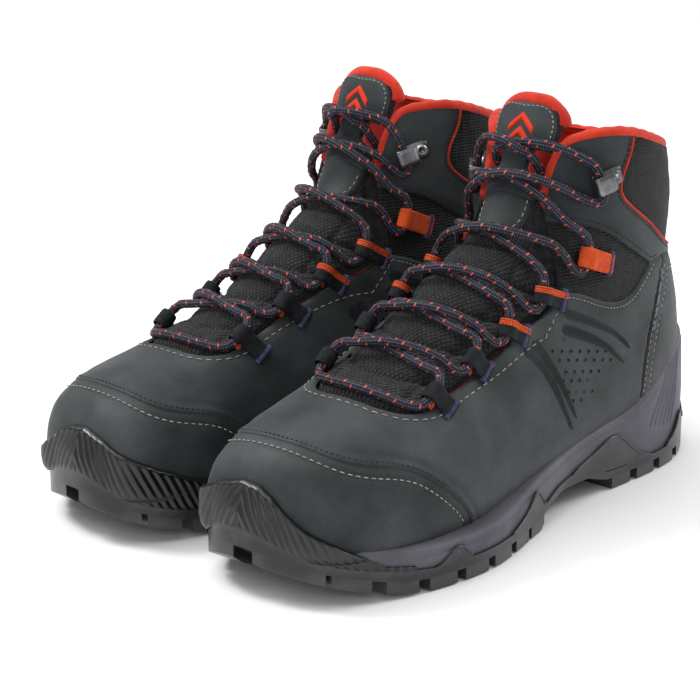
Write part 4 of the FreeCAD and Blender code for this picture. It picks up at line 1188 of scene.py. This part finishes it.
# ---- sole ----
def plan_line(step):
    """Closed sole outline with outward directions."""
    pts = np.array(SOLE_PLAN + SOLE_PLAN[:3], float)
    t = arc(pts)
    loop = cubic(t, pts, np.linspace(t[1], t[-2], int((t[-2] - t[1]) / step)))[:-1]
    ahead = np.roll(loop, -1, 0) - np.roll(loop, 1, 0)
    ahead /= np.linalg.norm(ahead, axis=1)[:, None]
    return loop, np.stack([ahead[:, 1], -ahead[:, 0]], 1)


def make_midsole():
    """Foam wall with a ledge under its top edge and a fan of grooves at the heel."""
    loop, away = plan_line(0.8)
    y = loop[:, 1]
    low, high = read(OUTSOLE_TOP, y) - 1.5, read(MIDSOLE_TOP, y)
    rows = []
    for f in np.linspace(0, 1, 46):
        z = low + (high - low) * f
        swell = -0.9 - 0.8 * (2 * f - 1) ** 2 * (f < 0.5) - 1.6 * max(0.0, (f - 0.88) / 0.12) ** 2
        slope = -1.0 * np.clip((z - 34) / 26, 0, 1) * (y > 70)
        fan = np.zeros_like(y)
        for g in range(6):
            y0, z0, y1, z1 = 91 + 4.2 * g, 24 - 0.8 * g, 109 + 2.6 * g, 50 + 0.8 * g
            dy, dz = y1 - y0, z1 - z0
            q = np.clip(((y - y0) * dy + (z - z0) * dz) / (dy * dy + dz * dz), 0, 1)
            fan -= np.exp(-(np.hypot(y - y0 - q * dy, z - z0 - q * dz) / 0.75) ** 2)
        ledge = -0.48 * np.exp(-((z - high + 4.2) / 0.8) ** 2) * (y > -100)
        offset = swell + slope + fan + ledge + 0.12 * wave_noise(loop[:, 0], y, z, 30, 31)
        rows.append(np.column_stack([loop + away * offset[:, None], z]))
    for inward, up in ((3.6, 0.3), (7.0, 0.2), (13.0, -0.5)):
        rows.append(np.column_stack([loop - away * inward, high + up]))
    build("midsole", sheet(rows, True), FOAM, ["midsole"])


def make_bumper():
    """Ribbed rubber over the toe: sole wall below, hugging the leather above."""
    step, back_end, levels = 0.42, -103.0, 34
    loop, away = plan_line(step)
    order = np.roll(np.arange(len(loop)), len(loop) // 2)
    skin_tree = tree(2.3)
    columns = []
    for c, k in enumerate([k for k in order if loop[k][1] < back_end]):
        p, n, travel = loop[k], away[k], step * (c + 1)
        low = float(read(OUTSOLE_TOP, p[1])) - 0.3
        top = max(float(read(BUMPER_TOP, p[0] * 0.97)), low + 2.0)
        fade = np.clip((back_end - p[1]) / 8, 0, 1)
        column = []
        for f in np.linspace(0, 1, levels):
            z = low + (top - low) * f
            start = Vector((*(p + n * 12), z))
            hit_at, _, _, _ = skin_tree.ray_cast(start, Vector((-n[0], -n[1], 0.0)))
            depth = -9.0 if hit_at is None else max(-12.0, 12.0 - (hit_at - start).length)
            hug = ease((z - low - 5) / 14)
            offset = depth * hug + 0.1 * (1 - hug) if depth < 0.1 else depth
            phase = (travel + 0.55 * (z - low) * (1 if p[0] > -8 else -1)) / 4.3
            rib = abs(((phase % 1.0) * 2) - 1)
            mask = np.clip(f * 8, 0, 1) * np.clip((1 - f) * 7, 0, 1) * fade
            offset += (rib ** 0.7 - 0.75) * mask - 1.6 * max(0.0, (f - 0.93) / 0.07) ** 2
            column.append((*(p + n * offset), z))
        columns.append(column + [(*(p - n * 6), top + 0.1)])
    build("toe_bumper", sheet(columns), RUBBER, ["toe_bumper"])


def make_sole_details():
    """Raised rubber edge lines round the side flames of the outsole."""
    loop, away = plan_line(0.8)
    parts = []
    for line, side in [(smooth(flame, 1.0), side) for flame in FLAME_EDGES for side in (1, -1)]:
        run = []
        for y, z in line:
            near = np.abs(loop[:, 1] - y) + 1000 * (loop[:, 0] * side < 0)
            k = int(np.argmin(near))
            if near[k] < 3 and z > read(OUTSOLE_TOP, y) - 0.2:
                run.append((*(loop[k] + away[k] * 0.05), z))
        if len(run) > 4:
            parts.append(tube(resample(np.array(run), 1.0), 0.55))
    build("flame_edges", parts, RUBBER)


def dress_frame():
    """Materials on the CAD pieces that stay, and rounded edges on the outsole."""
    looks = {"outsole": RUBBER, "shank": BOARD_MAT, "lasting_board": BOARD_MAT, "heel_counter": BOARD_MAT}
    for name, mat in looks.items():
        for side in ("left", "right"):
            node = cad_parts[f"{side}_{name}"]
            node.data.materials.clear()
            node.data.materials.append(mat)
            if name == "outsole":
                bevel = node.modifiers.new("moulded_edges", "BEVEL")
                bevel.width, bevel.segments = 0.0006, 2
                bevel.limit_method, bevel.angle_limit = "ANGLE", math.radians(38)


# ---- studio ----
def make_studio():
    scene = bpy.context.scene
    scene.view_settings.view_transform = "Standard"
    world = bpy.data.worlds.new("studio")
    scene.world = world
    world.use_nodes = True
    background = world.node_tree.nodes["Background"]
    background.inputs["Color"].default_value = (1.0, 1.0, 1.0, 1.0)
    background.inputs["Strength"].default_value = 0.5
    size, level = 6.0, -0.0006
    corners = [(x * size, y * size, level) for x, y in ((-1, -1), (1, -1), (1, 1), (-1, 1))]
    mesh = bpy.data.meshes.new("floor")
    mesh.from_pydata(corners, [], [[0, 1, 2, 3]])
    floor = bpy.data.objects.new("floor", mesh)
    scene.collection.objects.link(floor)
    paint = bpy.data.materials.new("floor_paint")
    paint.use_nodes = True
    shader = paint.node_tree.nodes["Principled BSDF"]
    shader.inputs["Base Color"].default_value = (0.92, 0.92, 0.93, 1.0)
    shader.inputs["Roughness"].default_value = 0.6
    mesh.materials.append(paint)

    def area(name, place, aim, width, power, colour=(1, 1, 1)):
        light = bpy.data.lights.new(name, "AREA")
        light.shape, light.size, light.energy, light.color = "DISK", width, power, colour
        obj = bpy.data.objects.new(name, light)
        obj.location = place
        obj.rotation_euler = (Vector(aim) - Vector(place)).to_track_quat("-Z", "Y").to_euler()
        scene.collection.objects.link(obj)

    area("key", (-0.9, -0.55, 1.35), (0, -0.02, 0.08), 0.5, 15)
    area("front", (0.9, -1.1, 0.7), (0, -0.05, 0.06), 0.7, 3.5)
    area("back", (0.6, 1.1, 0.9), (0.05, 0.05, 0.1), 0.6, 9)
    sky = bpy.data.objects.new("sky", bpy.data.lights.new("sky", "SUN"))
    sky.data.energy, sky.data.angle = 1.6, math.radians(60)
    sky.rotation_euler = (math.radians(12), math.radians(-14), 0)
    scene.collection.objects.link(sky)
    camera = bpy.data.objects.new("camera", bpy.data.cameras.new("camera"))
    camera.data.lens = 118.6
    camera.data.sensor_width = 36.0
    camera.data.clip_end = 20.0
    camera.location = (0.7065, -0.78415, 0.3796)
    aim = Vector((-0.01375, -0.01177, 0.0648))
    camera.rotation_euler = (aim - camera.location).to_track_quat("-Z", "Y").to_euler()
    scene.collection.objects.link(camera)
    scene.camera = camera


make_studio()
make_lace()
make_upper()
make_pressings()
make_inside()
make_tongue()
make_loops()
make_hooks()
make_midsole()
make_bumper()
make_sole_details()
dress_frame()
